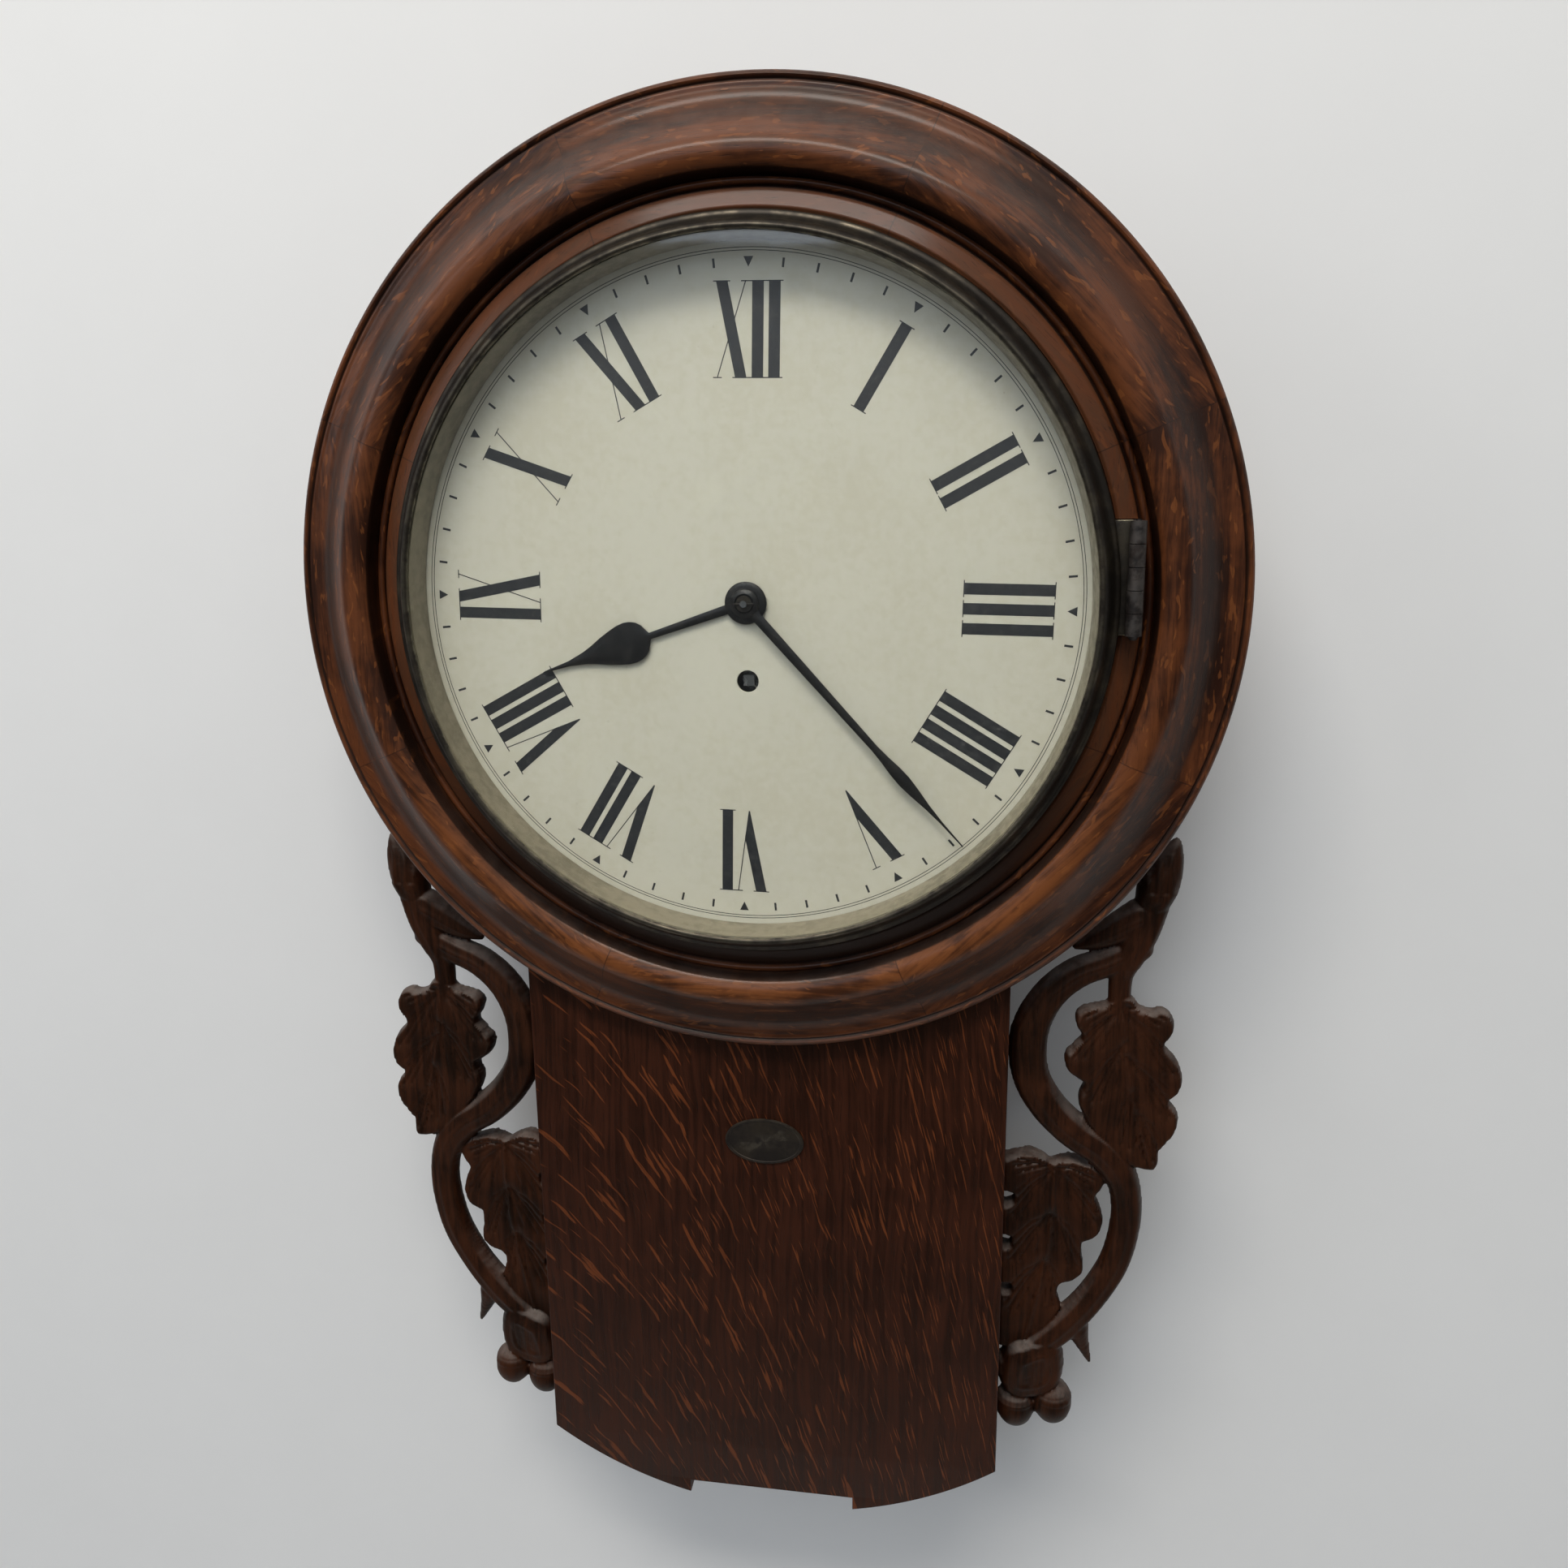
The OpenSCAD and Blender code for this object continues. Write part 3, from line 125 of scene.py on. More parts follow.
def make_piece(name: str, verts: Iterable, faces: Iterable, material: Material, crease: float = CREASE) -> Object:
    """Makes an object from points in millimetres, with its faces turned outwards.

    Args:
        name: Name of the piece.
        verts: Points as x, y, z in millimetres.
        faces: Lists of point numbers.
        material: Finish of the piece.
        crease: Angle in degrees over which an edge stays sharp.

    Returns:
        The new object, linked to the scene.
    """
    mesh = new_mesh(name, verts, faces)
    with opened(mesh) as work:
        bmesh.ops.recalc_face_normals(work, faces=work.faces)
    return place(name, mesh, material, crease)


def skin(rows: int, count: int, closed: bool = False) -> list[tuple[int, ...]]:
    """Lists the faces between rows of points that each run round a section.

    Args:
        rows: Number of rows.
        count: Number of points in a row.
        closed: Whether the last row meets the first.

    Returns:
        The point numbers of each face.
    """
    starts = [i * count for i in range(rows)]
    nexts = starts[1:] + starts[:1] if closed else starts[1:]
    return [(a + j, a + (j + 1) % count, b + (j + 1) % count, b + j)
            for a, b in zip(starts, nexts) for j in range(count)]


def turn(name: str, profile: Line, material: Material, steps: int = 288, at: Flat = (0.0, 0.0),
         squeeze: Flat = (1.0, 1.0), crease: float = CREASE) -> Object:
    """Turns a closed profile about an axis that stands out from the wall.

    Args:
        name: Name of the piece.
        profile: Points of radius and distance from the wall, in order round the section.
        material: Finish of the piece.
        steps: Number of steps round the axis.
        at: x and z of the axis.
        squeeze: Factors on x and z that make the round form an oval.
        crease: Angle in degrees over which an edge stays sharp.

    Returns:
        The turned piece.
    """
    angles = np.linspace(0.0, 2 * math.pi, steps, endpoint=False)
    verts = [(at[0] + squeeze[0] * r * math.sin(a), -out, at[1] + squeeze[1] * r * math.cos(a))
             for a in angles for r, out in profile]
    return make_piece(name, verts, skin(steps, len(profile), closed=True), material, crease)


def fret(name: str, outlines: Sequence[Line], near: float, far: float, material: Material, ease: float,
         crease: float = CREASE) -> Object:
    """Cuts a sheet to outlines, with holes where one lies inside another, and eases its edges.

    Args:
        name: Name of the piece.
        outlines: Closed lines of x and z.
        near: Distance of the back face from the wall.
        far: Distance of the front face from the wall.
        material: Finish of the piece.
        ease: Radius of the eased edges.
        crease: Angle in degrees over which an edge stays sharp.

    Returns:
        The cut piece.
    """
    curve = bpy.data.curves.new(name, "CURVE")
    curve.dimensions = "2D"
    curve.fill_mode = "BOTH"
    curve.extrude = ((far - near) / 2 - ease) * MM
    curve.bevel_depth = ease * MM
    curve.bevel_resolution = 2
    curve.offset = -ease * MM
    for outline in outlines:
        spline = curve.splines.new("POLY")
        spline.points.add(len(outline) - 1)
        for point, (x, z) in zip(spline.points, outline):
            point.co = (x * MM, z * MM, 0.0, 1.0)
        spline.use_cyclic_u = True
    flat = link(name, curve)
    mesh = worked_out(flat)
    bpy.data.objects.remove(flat)
    mesh.transform(Matrix(((1, 0, 0, 0), (0, 0, -1, -(near + far) / 2 * MM), (0, 1, 0, 0), (0, 0, 0, 1))))
    with opened(mesh) as work:
        bmesh.ops.remove_doubles(work, verts=work.verts, dist=1e-6)
    return place(name, mesh, material, crease)


def stamps(name: str, shapes: Sequence[Line], near: float, far: float, material: Material) -> Object:
    """Lays flat shapes on a face, each a thin plate of its own, as printed or inked marks."""
    verts: list[Point] = []
    faces: list[Sequence[int]] = []
    for shape in shapes:
        first, count = len(verts), len(shape)
        verts += [(x, -out, z) for out in (near, far) for x, z in shape]
        faces.append([first + count + i for i in range(count)])
        faces.append([first + i for i in reversed(range(count))])
        faces += [[first + i for i in face] for face in skin(2, count)]
    return make_piece(name, verts, faces, material, crease=20.0)


def ring_points(radius: float, steps: int, at: Flat = (0.0, 0.0)) -> list[Flat]:
    """Points round a circle, as x and z."""
    angles = [2 * math.pi * i / steps for i in range(steps)]
    return [(at[0] + radius * math.sin(a), at[1] + radius * math.cos(a)) for a in angles]


def turned_about(points: Line, degrees: float) -> list[Flat]:
    """Turns points clockwise about the dial's centre, as the viewer sees it."""
    c, s = math.cos(math.radians(degrees)), math.sin(math.radians(degrees))
    return [(x * c + z * s, z * c - x * s) for x, z in points]


def to_segment(x: Array, z: Array, a: Sequence[float], b: Sequence[float]) -> tuple[Array, Array]:
    """Finds how far places lie from a straight line between two points.

    Args:
        x: Places across.
        z: Places upwards.
        a: One end, x and z first.
        b: The other end.

    Returns:
        The distance of each place, and its share of the way from a to b.
    """
    dx, dz = b[0] - a[0], b[1] - a[1]
    t = np.clip(((x - a[0]) * dx + (z - a[1]) * dz) / max(dx * dx + dz * dz, 1e-9), 0, 1)
    return np.hypot(x - a[0] - t * dx, z - a[1] - t * dz), t


def ridge(away: Array, size: Flat) -> Array:
    """Height of a soft ridge of a height and a width, at each distance from its line."""
    return size[0] * np.exp(-(away / size[1]) ** 2)


def hump(r: Array, at: float, radius: float) -> Array:
    """Height of a round bead at each place across it."""
    return np.sqrt(np.clip(radius ** 2 - (r - at) ** 2, 0, None))


def carry(piece: Object, body: str, slot: str, *nodes: str) -> Object:
    """Puts a piece on its body, hides the nodes that it stands for, and logs it with them."""
    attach(piece, body)
    if nodes:
        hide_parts(*nodes)
    log.info("%s on %s, %d faces%s", piece.name, body, len(piece.data.polygons),
             ", for " + ", ".join(nodes) if nodes else "")
    return piece


# Node graphs


class Term:
    """A number, vector or colour in a node tree; arithmetic on it places Math nodes."""

    def __init__(self, graph: "Graph", socket: NodeSocket) -> None:
        """Takes an output of a node and the graph that it is in."""
        self.graph, self.socket = graph, socket

    def __add__(self, other: "Value") -> "Term":
        """The sum of two numbers."""
        return self.graph.math("ADD", self, other)

    def __sub__(self, other: "Value") -> "Term":
        """The difference of two numbers."""
        return self.graph.math("SUBTRACT", self, other)

    def __rsub__(self, other: float) -> "Term":
        """A plain number less this one."""
        return self.graph.math("SUBTRACT", other, self)

    def __mul__(self, other: "Value") -> "Term":
        """The product of two numbers."""
        return self.graph.math("MULTIPLY", self, other)

    def __truediv__(self, other: "Value") -> "Term":
        """One number over another."""
        return self.graph.math("DIVIDE", self, other)

    def __rtruediv__(self, other: float) -> "Term":
        """A plain number over this one."""
        return self.graph.math("DIVIDE", other, self)

    def __abs__(self) -> "Term":
        """The number without its sign."""
        return self.graph.math("ABSOLUTE", self)


Value = float | tuple | Term


class Graph:
    """A node tree with short ways to place nodes and join them."""

    def __init__(self, tree: NodeTree) -> None:
        """Takes the tree that the nodes go into."""
        self.tree = tree

    def feed(self, socket: NodeSocket, value: Value) -> None:
        """Joins an output to a socket, or sets the socket to a plain value."""
        if isinstance(value, Term):
            self.tree.links.new(value.socket, socket)
        else:
            socket.default_value = value

    def place(self, kind: str, values: dict | None = None, **settings: object) -> Node:
        """Places a node.

        Args:
            kind: Blender's name of the node.
            values: Values or outputs for its sockets, by name or number.
            **settings: Properties of the node, set first.

        Returns:
            The placed node.
        """
        made = self.tree.nodes.new(kind)
        for key, value in settings.items():
            setattr(made, key, value)
        for key, value in (values or {}).items():
            self.feed(made.inputs[key], value)
        return made

    def node(self, kind: str, values: dict | None = None, output: int | str = 0, **settings: object) -> Term:
        """Places a node and gives one of its outputs."""
        return Term(self, self.place(kind, values, **settings).outputs[output])

    def math(self, operation: str, a: Value, b: Value = 0.0, clamp: bool = False) -> Term:
        """One Math node."""
        return self.node("ShaderNodeMath", {0: a, 1: b}, operation=operation, use_clamp=clamp)

    def most(self, first: Term, *others: Term) -> Term:
        """The largest of some numbers."""
        for other in others:
            first = self.math("MAXIMUM", first, other)
        return first

    def fade(self, value: Term, low: float, high: float, start: float = 0.0, end: float = 1.0) -> Term:
        """Maps low..high smoothly to start..end, and holds the ends."""
        span = {"Value": value, "From Min": low, "From Max": high, "To Min": start, "To Max": end}
        return self.node("ShaderNodeMapRange", span, interpolation_type="SMOOTHSTEP")

    def tint(self, share: Value, a: Value, b: Value) -> Term:
        """Mixes two colours."""
        made = self.place("ShaderNodeMix", data_type="RGBA")
        for index, value in ((0, share), (6, a), (7, b)):
            self.feed(made.inputs[index], value)
        return Term(self, made.outputs[2])

    def noise(self, at: Term, size: float = 1.0, detail: float = 3.0, rough: float = 0.5,
              twist: float = 0.0) -> Term:
        """Noise whose blotches are about size across, in the units of the place."""
        return self.node("ShaderNodeTexNoise", {"Vector": at, "Scale": 1.0 / size, "Detail": detail,
                                                "Roughness": rough, "Distortion": twist})

    def join(self, x: Value, y: Value, z: Value = 0.0) -> Term:
        """A vector from three numbers."""
        return self.node("ShaderNodeCombineXYZ", {0: x, 1: y, 2: z})

    def split(self, vector: Term) -> list[Term]:
        """The three numbers of a vector."""
        return [Term(self, part) for part in self.place("ShaderNodeSeparateXYZ", {0: vector}).outputs]

    def stretch(self, vector: Term, by: tuple[float, float, float]) -> Term:
        """A vector multiplied part by part."""
        return self.node("ShaderNodeVectorMath", {0: vector, 1: by}, operation="MULTIPLY")

    def scale(self, vector: Term, by: Value) -> Term:
        """A vector multiplied as a whole."""
        return self.node("ShaderNodeVectorMath", {0: vector, 3: by}, operation="SCALE")

    def where(self) -> Term:
        """The place on the object at rest, in millimetres."""
        return self.stretch(self.node("ShaderNodeTexCoord", output="Object"), (1 / MM, 1 / MM, 1 / MM))

    def blend(self, share: Term, a: Term, b: Term) -> Term:
        """Mixes two shaders."""
        return self.node("ShaderNodeMixShader", {0: share, 1: a, 2: b})


class Effect(enum.Enum):
    """The surface effects that several finishes share, each one node group."""

    GRAIN = "wood_grain"
    FLECKS = "ray_flecks"
    MOTTLE = "mottling"
    DUST = "settled_dust"
    # Edge wear, with painted shade in the hollows.
    WEAR = "edge_wear"
    SCUFFS = "fine_scuffs"


def open_group(effect: Effect, numbers: dict[str, float],
               outputs: Sequence[str]) -> tuple[Graph, dict[str, Term], dict[str, NodeSocket]]:
    """Starts a node group with a Vector input, named numbers and named outputs.

    Args:
        effect: The effect that the group makes.
        numbers: Names and first values of its number inputs.
        outputs: Names of its number outputs.

    Returns:
        The graph, its inputs by name and the sockets to feed by name.
    """
    tree = bpy.data.node_groups.new(effect.value, "ShaderNodeTree")
    tree.interface.new_socket("Vector", in_out="INPUT", socket_type="NodeSocketVector")
    for name, value in numbers.items():
        tree.interface.new_socket(name, in_out="INPUT", socket_type="NodeSocketFloat").default_value = value
    for name in outputs:
        tree.interface.new_socket(name, in_out="OUTPUT", socket_type="NodeSocketFloat")
    graph = Graph(tree)
    given = {s.name: Term(graph, s) for s in graph.place("NodeGroupInput").outputs if s.name}
    return graph, given, {s.name: s for s in graph.place("NodeGroupOutput").inputs if s.name}


def build_grain() -> None:
    """Long streaks and short open pores, for a place whose z runs along the grain."""
    g, given, out = open_group(Effect.GRAIN, {"Width": 3.0, "Wander": 1.0}, ("Streak", "Pores"))
    slow = g.noise(g.stretch(given["Vector"], (0.02, 0.02, 0.008)), detail=2.0)
    x, y, z = g.split(given["Vector"])
    x = x + (slow - 0.5) * (given["Wander"] * 30.0)
    streaks = g.noise(g.join(x / given["Width"], y / given["Width"], z * 0.012), detail=4.0, rough=0.62)
    g.feed(out["Streak"], g.fade(streaks, 0.3, 0.7))
    pores = g.noise(g.join(x * 1.6, y * 1.6, z * 0.09), detail=2.0, rough=0.55)
    g.feed(out["Pores"], g.fade(pores, 0.60, 0.72))


def build_flecks() -> None:
    """Separate long flecks of uneven width, for a place with x across and y along them."""
    g, given, out = open_group(Effect.FLECKS, {"Width": 3.0, "Length": 30.0, "Share": 0.5}, ("Mask",))
    x, y, _ = g.split(given["Vector"])
    sway = (g.noise(g.join(x / 50.0, y / 22.0), detail=2.0) - 0.5) * 10.0
    across, along = (x + sway) / given["Width"], y / given["Length"]
    body = g.noise(g.join(across, along, 3.7), detail=1.5, rough=0.45, twist=0.25)
    edge = 0.72 - given["Share"] * 0.2
    fine = g.noise(g.join(across * 1.7, along * 5.0, 9.1), rough=0.6)
    g.feed(out["Mask"], g.fade(body - edge + (fine - 0.5) * 0.1, -0.005, 0.05))


def build_mottle() -> None:
    """Soft uneven patches between 0 and 1."""
    g, given, out = open_group(Effect.MOTTLE, {"Size": 20.0, "Contrast": 1.0}, ("Value",))
    patches = g.noise(g.scale(given["Vector"], 1.0 / given["Size"]), detail=5.0, rough=0.6) - 0.5
    g.feed(out["Value"], g.math("ADD", patches * given["Contrast"], 0.5, clamp=True))


def build_dust() -> None:
    """Dust on faces that look up, thicker in patches."""
    g, given, out = open_group(Effect.DUST, {"Amount": 0.5, "Size": 8.0}, ("Mask",))
    lies = g.fade(g.split(g.node("ShaderNodeNewGeometry", output="Normal"))[2], 0.25, 0.9)
    patchy = g.noise(g.scale(given["Vector"], 1.0 / given["Size"]), detail=4.0, rough=0.6)
    g.feed(out["Mask"], lies * g.fade(patchy, 0.3, 0.65, 0.35, 1.0) * given["Amount"])


def build_wear_and_shade() -> None:
    """Rubbed edges, from how sharply the surface bends outwards, and painted shade in the hollows, where it bends
    inwards.
    """
    g, given, out = open_group(Effect.WEAR, {"Amount": 0.5}, ("Edge", "Hollow"))
    bend = g.node("ShaderNodeNewGeometry", output="Pointiness")
    patchy = g.fade(g.noise(given["Vector"], 6.0, 4.0, 0.65), 0.35, 0.6)
    g.feed(out["Edge"], g.fade(bend, 0.52, 0.60) * patchy * given["Amount"])
    # Painted shade: darker where the surface bends inwards.
    g.feed(out["Hollow"], g.fade(bend, 0.49, 0.42) * given["Amount"])


def build_scuffs() -> None:
    """Fine scratches in two directions."""
    g, given, out = open_group(Effect.SCUFFS, {"Size": 12.0, "Amount": 0.5}, ("Mask",))
    x, y, z = g.split(given["Vector"])
    lines = []
    for slant in (0.7, -1.9):
        across, along = x + z * slant, z - x * slant
        scratch = g.noise(g.join(across * 1.4, along / given["Size"], y * 0.2), detail=2.0)
        lines.append(g.fade(scratch, 0.66, 0.73))
    g.feed(out["Mask"], g.most(*lines) * given["Amount"])


BUILDERS: dict[Effect, Callable[[], None]] = {
    Effect.GRAIN: build_grain, Effect.FLECKS: build_flecks, Effect.MOTTLE: build_mottle,
    Effect.DUST: build_dust, Effect.WEAR: build_wear_and_shade, Effect.SCUFFS: build_scuffs,
}


def use(graph: Graph, effect: Effect, at: Term, **numbers: float) -> dict[str, Term]:
    """Places an effect's group in a material.

    Args:
        graph: The material's graph.
        effect: The effect.
        at: The place on the surface.
        **numbers: Its number inputs.

    Returns:
        The outputs of the group by name.
    """
    if effect.value not in bpy.data.node_groups:
        BUILDERS[effect]()
    made = graph.place("ShaderNodeGroup", {"Vector": at, **numbers}, node_tree=bpy.data.node_groups[effect.value])
    return {output.name: Term(graph, output) for output in made.outputs}


def mottle(graph: Graph, at: Term, size: float, contrast: float) -> Term:
    """Soft patches of a size in millimetres."""
    return use(graph, Effect.MOTTLE, at, Size=size, Contrast=contrast)["Value"]


def shader(graph: Graph, colour: Value, roughness: Value, height: Term | None = None, depth: float = 0.1,
           **plain: float | Colour) -> Term:
    """Places the Principled shader of a material.

    Args:
        graph: The material's graph.
        colour: Base colour.
        roughness: Roughness.
        height: Height of the surface relief, 0 to 1.
        depth: Depth of the relief in millimetres.
        **plain: Constants for other sockets, with underscores for spaces.

    Returns:
        The shader.
    """
    values = {"Base Color": colour, "Roughness": roughness}
    values.update({name.replace("_", " "): value for name, value in plain.items()})
    if height is not None:
        values["Normal"] = graph.node("ShaderNodeBump", {"Strength": 1.0, "Distance": depth * MM, "Height": height})
    return graph.node("ShaderNodeBsdfPrincipled", values)


def new_material(name: str) -> tuple[Material, Graph]:
    """Starts an empty node material."""
    material = bpy.data.materials.new(name)
    material.use_nodes = True
    material.node_tree.nodes.clear()
    return material, Graph(material.node_tree)


def close(material: Material, graph: Graph, surface: Term) -> Material:
    """Joins a surface to the material's output."""
    graph.place("ShaderNodeOutputMaterial", {"Surface": surface})
    return material


def scaled(colour: Colour, by: float, lift: float = 0.0) -> Colour:
    """A colour made darker or lighter, kept at most white."""
    red, green, blue = (min(1.0, part * by + lift) for part in colour[:3])
    return (red, green, blue, 1.0)


# Finishes


class Run(enum.Enum):
    """The way that a board's grain runs."""

    X = "across the clock"
    Y = "out from the wall"
    Z = "up and down"
    RING = "round the dial, in jointed segments"
    SLANT = "up and down, with flecks that lean over towards the left"


SEGMENT = math.radians(45.0)
SEGMENT_SHIFT = (13.0, 71.0)
FLECK_LEAN = (0.0078, 2.6)


def segment_place(graph: Graph, x: Term, z: Term) -> tuple[Term, Term, Term]:
    """Finds the jointed segment of the ring that a place lies in.

    Args:
        graph: The material's graph.
        x: Place across.
        z: Place upwards.

    Returns:
        The segment's number, the distance from the centre along its middle and the place along its chord.
    """
    part = graph.math("ROUND", graph.math("ARCTAN2", x, z) / SEGMENT)
    middle = part * SEGMENT
    c, s = graph.math("COSINE", middle), graph.math("SINE", middle)
    return part, x * s + z * c, x * c - z * s


def grain_place(graph: Graph, run: Run) -> tuple[Term, Term]:
    """Turns the place on the object so that z lies along the grain.

    Args:
        graph: The material's graph.
        run: The way that the grain runs.

    Returns:
        The place for the grain, and the place with x across and y along the ray flecks.
    """
    x, y, z = graph.split(graph.where())
    if run is Run.X:
        return graph.join(z, y, x), graph.join(z, x, y)
    if run is Run.Y:
        return graph.join(x, z, y), graph.join(x, y, z)
    if run is Run.Z:
        return graph.join(x, y, z), graph.join(x + y, z, y)
    if run is Run.SLANT:
        return graph.join(x, y, z), graph.join(z + x * x * FLECK_LEAN[0] + x * FLECK_LEAN[1], z, y)
    part, across, along = segment_place(graph, x, z)
    across, along = part * SEGMENT_SHIFT[0] + across, part * SEGMENT_SHIFT[1] + along
    return graph.join(across, y, along), graph.join(across, along, y)


@dataclass(frozen=True)
class Wood:
    """A polished, stained or bare wood."""

    name: str
    dark: Colour
    light: Colour
    run: Run = Run.Z
    streak_mm: float = 2.6
    wander: float = 0.6
    patch_mm: float = 34.0
    fleck: Colour = paint(120, 70, 40)
    fleck_mm: Flat = (2.0, 16.0)
    fleck_share: float = 0.0
    clouds: float = 0.55
    shine: Flat = (0.42, 0.55)
    coat: float = 0.0
    dust: float = 0.0
    dust_mm: float = 9.0
    dust_tone: Colour = paint(150, 140, 132)
    wear: float = 0.0
    worn: Colour = paint(84, 62, 50)
    sheen: float = 0.3
    glow: Colour = (1.0, 0.72, 0.5, 1.0)

    def material(self) -> Material:
        """Builds the wood's material."""
        material, g = new_material(self.name)
        at = g.where()
        grain_at, fleck_at = grain_place(g, self.run)
        grain = use(g, Effect.GRAIN, grain_at, Width=self.streak_mm, Wander=self.wander)
        patches = mottle(g, at, self.patch_mm, 1.6)
        share = grain["Streak"] * (1.0 - self.clouds) + patches * self.clouds
        deep = scaled(self.dark, 0.35)
        colour = g.tint(g.fade(share, 0.2, 0.8), self.dark, self.light)
        colour = g.tint(grain["Pores"] * 0.65, colour, deep)
        height = grain["Pores"] * -1.0
        if self.fleck_share > 0:
            width, length = self.fleck_mm
            mask = use(g, Effect.FLECKS, fleck_at, Width=width, Length=length, Share=self.fleck_share)["Mask"]
            colour = g.tint(mask * g.fade(patches, 0.15, 0.6, 0.45, 1.0), colour, self.fleck)
            height = mask * 0.3 + height
        rough = g.fade(share, 0.1, 0.9, *self.shine)
        if self.wear > 0:
            wear_and_painted_light = use(g, Effect.WEAR, at, Amount=self.wear)
            colour = g.tint(wear_and_painted_light["Edge"], colour, self.worn)
            # Painted shade: the hollows are darkened towards the deep tone.
            colour = g.tint(wear_and_painted_light["Hollow"], colour, deep)
        if self.dust > 0:
            lies = use(g, Effect.DUST, at, Amount=self.dust, Size=self.dust_mm)["Mask"]
            colour = g.tint(lies, colour, self.dust_tone)
            rough = lies * 0.35 + rough
        made = shader(g, colour, rough, height, Coat_Weight=self.coat, Coat_Roughness=0.3,
                      Specular_IOR_Level=self.sheen, Specular_Tint=self.glow)
        return close(material, g, made)


@dataclass(frozen=True)
class Varnish:
    """The polished wood of the surround: jointed segments, its own fillet tone, painted shade in the quirks and the
    cove, a painted shadow low on the fillet and a painted highlight low on the roll.
    """

    name: str
    dark: Colour
    light: Colour
    fillet: Colour
    # Tone of the pores, and of the painted shade and shadow.
    pore_and_shade_tone: Colour = paint(22, 12, 8)
    fleck: Colour = paint(122, 70, 34)
    wear_and_painted_light: Colour = paint(138, 82, 42)
    dust_tone: Colour = paint(150, 136, 126)
    dust: float = 0.1
    dust_mm: float = 12.0
    streak_mm: float = 2.6
    patch_mm: float = 46.0
    fine_mm: float = 3.4
    fleck_mm: Flat = (2.2, 9.0)
    fleck_share: float = 0.42
    shares: Point = (0.26, 0.48, 0.26)
    relief_mm: float = 0.08
    fillet_r: float = 172.4
    crest_r: float = 184.0
    cove_r: float = 203.0
    quirks: tuple[float, ...] = (172.9, 178.2, 216.5)
    joint_mm: float = 0.45
    glow: Colour = (1.0, 0.82, 0.66, 1.0)

    def material(self) -> Material:
        """Builds the varnished wood's material."""
        material, g = new_material(self.name)
        at = g.where()
        x, _, z = g.split(at)
        radius = g.math("SQRT", x * x + z * z)
        inner = g.fade(radius, self.fillet_r + 0.4, self.fillet_r - 0.4)
        grain_at, fleck_at = grain_place(g, Run.RING)
        grain = use(g, Effect.GRAIN, grain_at, Width=self.streak_mm, Wander=0.35)
        small = mottle(g, g.stretch(grain_at, (1.0, 1.0, 0.22)), self.fine_mm, 1.6)
        streaked, cloudy, fine = self.shares
        share = grain["Streak"] * streaked + mottle(g, at, self.patch_mm, 2.6) * cloudy + small * fine
        colour = g.tint(g.fade(share, 0.25, 0.75), self.dark, self.light)
        width, length = self.fleck_mm
        flecks = use(g, Effect.FLECKS, fleck_at, Width=width, Length=length, Share=self.fleck_share)["Mask"]
        colour = g.tint(flecks * 0.55, colour, self.fleck)
        colour = g.tint(inner * 0.75, colour, g.tint(grain["Streak"], self.light, self.fillet))
        colour = g.tint(grain["Pores"] * 0.5, colour, self.pore_and_shade_tone)
        # Painted highlight: the roll's crest is lightened, most towards the bottom of the ring.
        crest = g.fade(abs(radius - self.crest_r), 8.0, 2.0) * g.fade(z / radius, -0.2, -0.9, 0.08, 0.5)
        colour = g.tint(crest * (g.fade(share, 0.3, 0.7) * 0.8 + 0.2), colour, self.wear_and_painted_light)
        worn = use(g, Effect.WEAR, at, Amount=0.5)
        colour = g.tint(worn["Edge"], colour, self.wear_and_painted_light)
        # Painted shade and shadow in the cove, the hollows, the quirks and low on the fillet, with the dark joints.
        colour = g.tint(self.shade_and_joints(g, x, z, radius, inner, worn["Hollow"]), colour, self.pore_and_shade_tone)
        lies = use(g, Effect.DUST, at, Amount=self.dust, Size=self.dust_mm)["Mask"]
        colour = g.tint(lies, colour, self.dust_tone)
        rough = g.fade(share, 0.1, 0.9, 0.4, 0.52) + lies * 0.3 + inner * 0.2
        made = shader(g, colour, rough, grain["Pores"] * -0.6 + small * 0.4, self.relief_mm, Coat_Weight=0.2,
                      Coat_Roughness=0.2, Specular_IOR_Level=0.2, Specular_Tint=self.glow)
        return close(material, g, made)

    def shade_and_joints(self, g: Graph, x: Term, z: Term, radius: Term, inner: Term, hollow: Term) -> Term:
        """Painted shade in the cove, the hollows and the quirks, a painted shadow of the bezel low on the fillet, and
        the dark joints between the segments.

        Args:
            g: The material's graph.
            x: Place across.
            z: Place upwards.
            radius: Distance from the dial's centre.
            inner: Share of the fillet.
            hollow: Share of the painted shade in the hollows.

        Returns:
            The share of the dark tone: painted shade and shadow, and the joints.
        """
        cove = g.fade(abs(radius - self.cove_r), 7.0, 2.0, 0.0, 0.55)
        # Painted shadow of the bezel, darker towards the bottom of the fillet.
        fillet_shadow = inner * g.fade(z / radius, -0.35, -0.85, 0.0, 0.85)
        _, across, along = segment_place(g, x, z)
        seam = abs(across * math.tan(SEGMENT / 2) - abs(along))
        quirks = [g.fade(abs(radius - quirk), 1.0, 0.35, 0.0, 0.85) for quirk in self.quirks]
        return g.most(cove, fillet_shadow, hollow * 0.8, *quirks, g.fade(seam, self.joint_mm, 0.1, 0.0, 0.6))


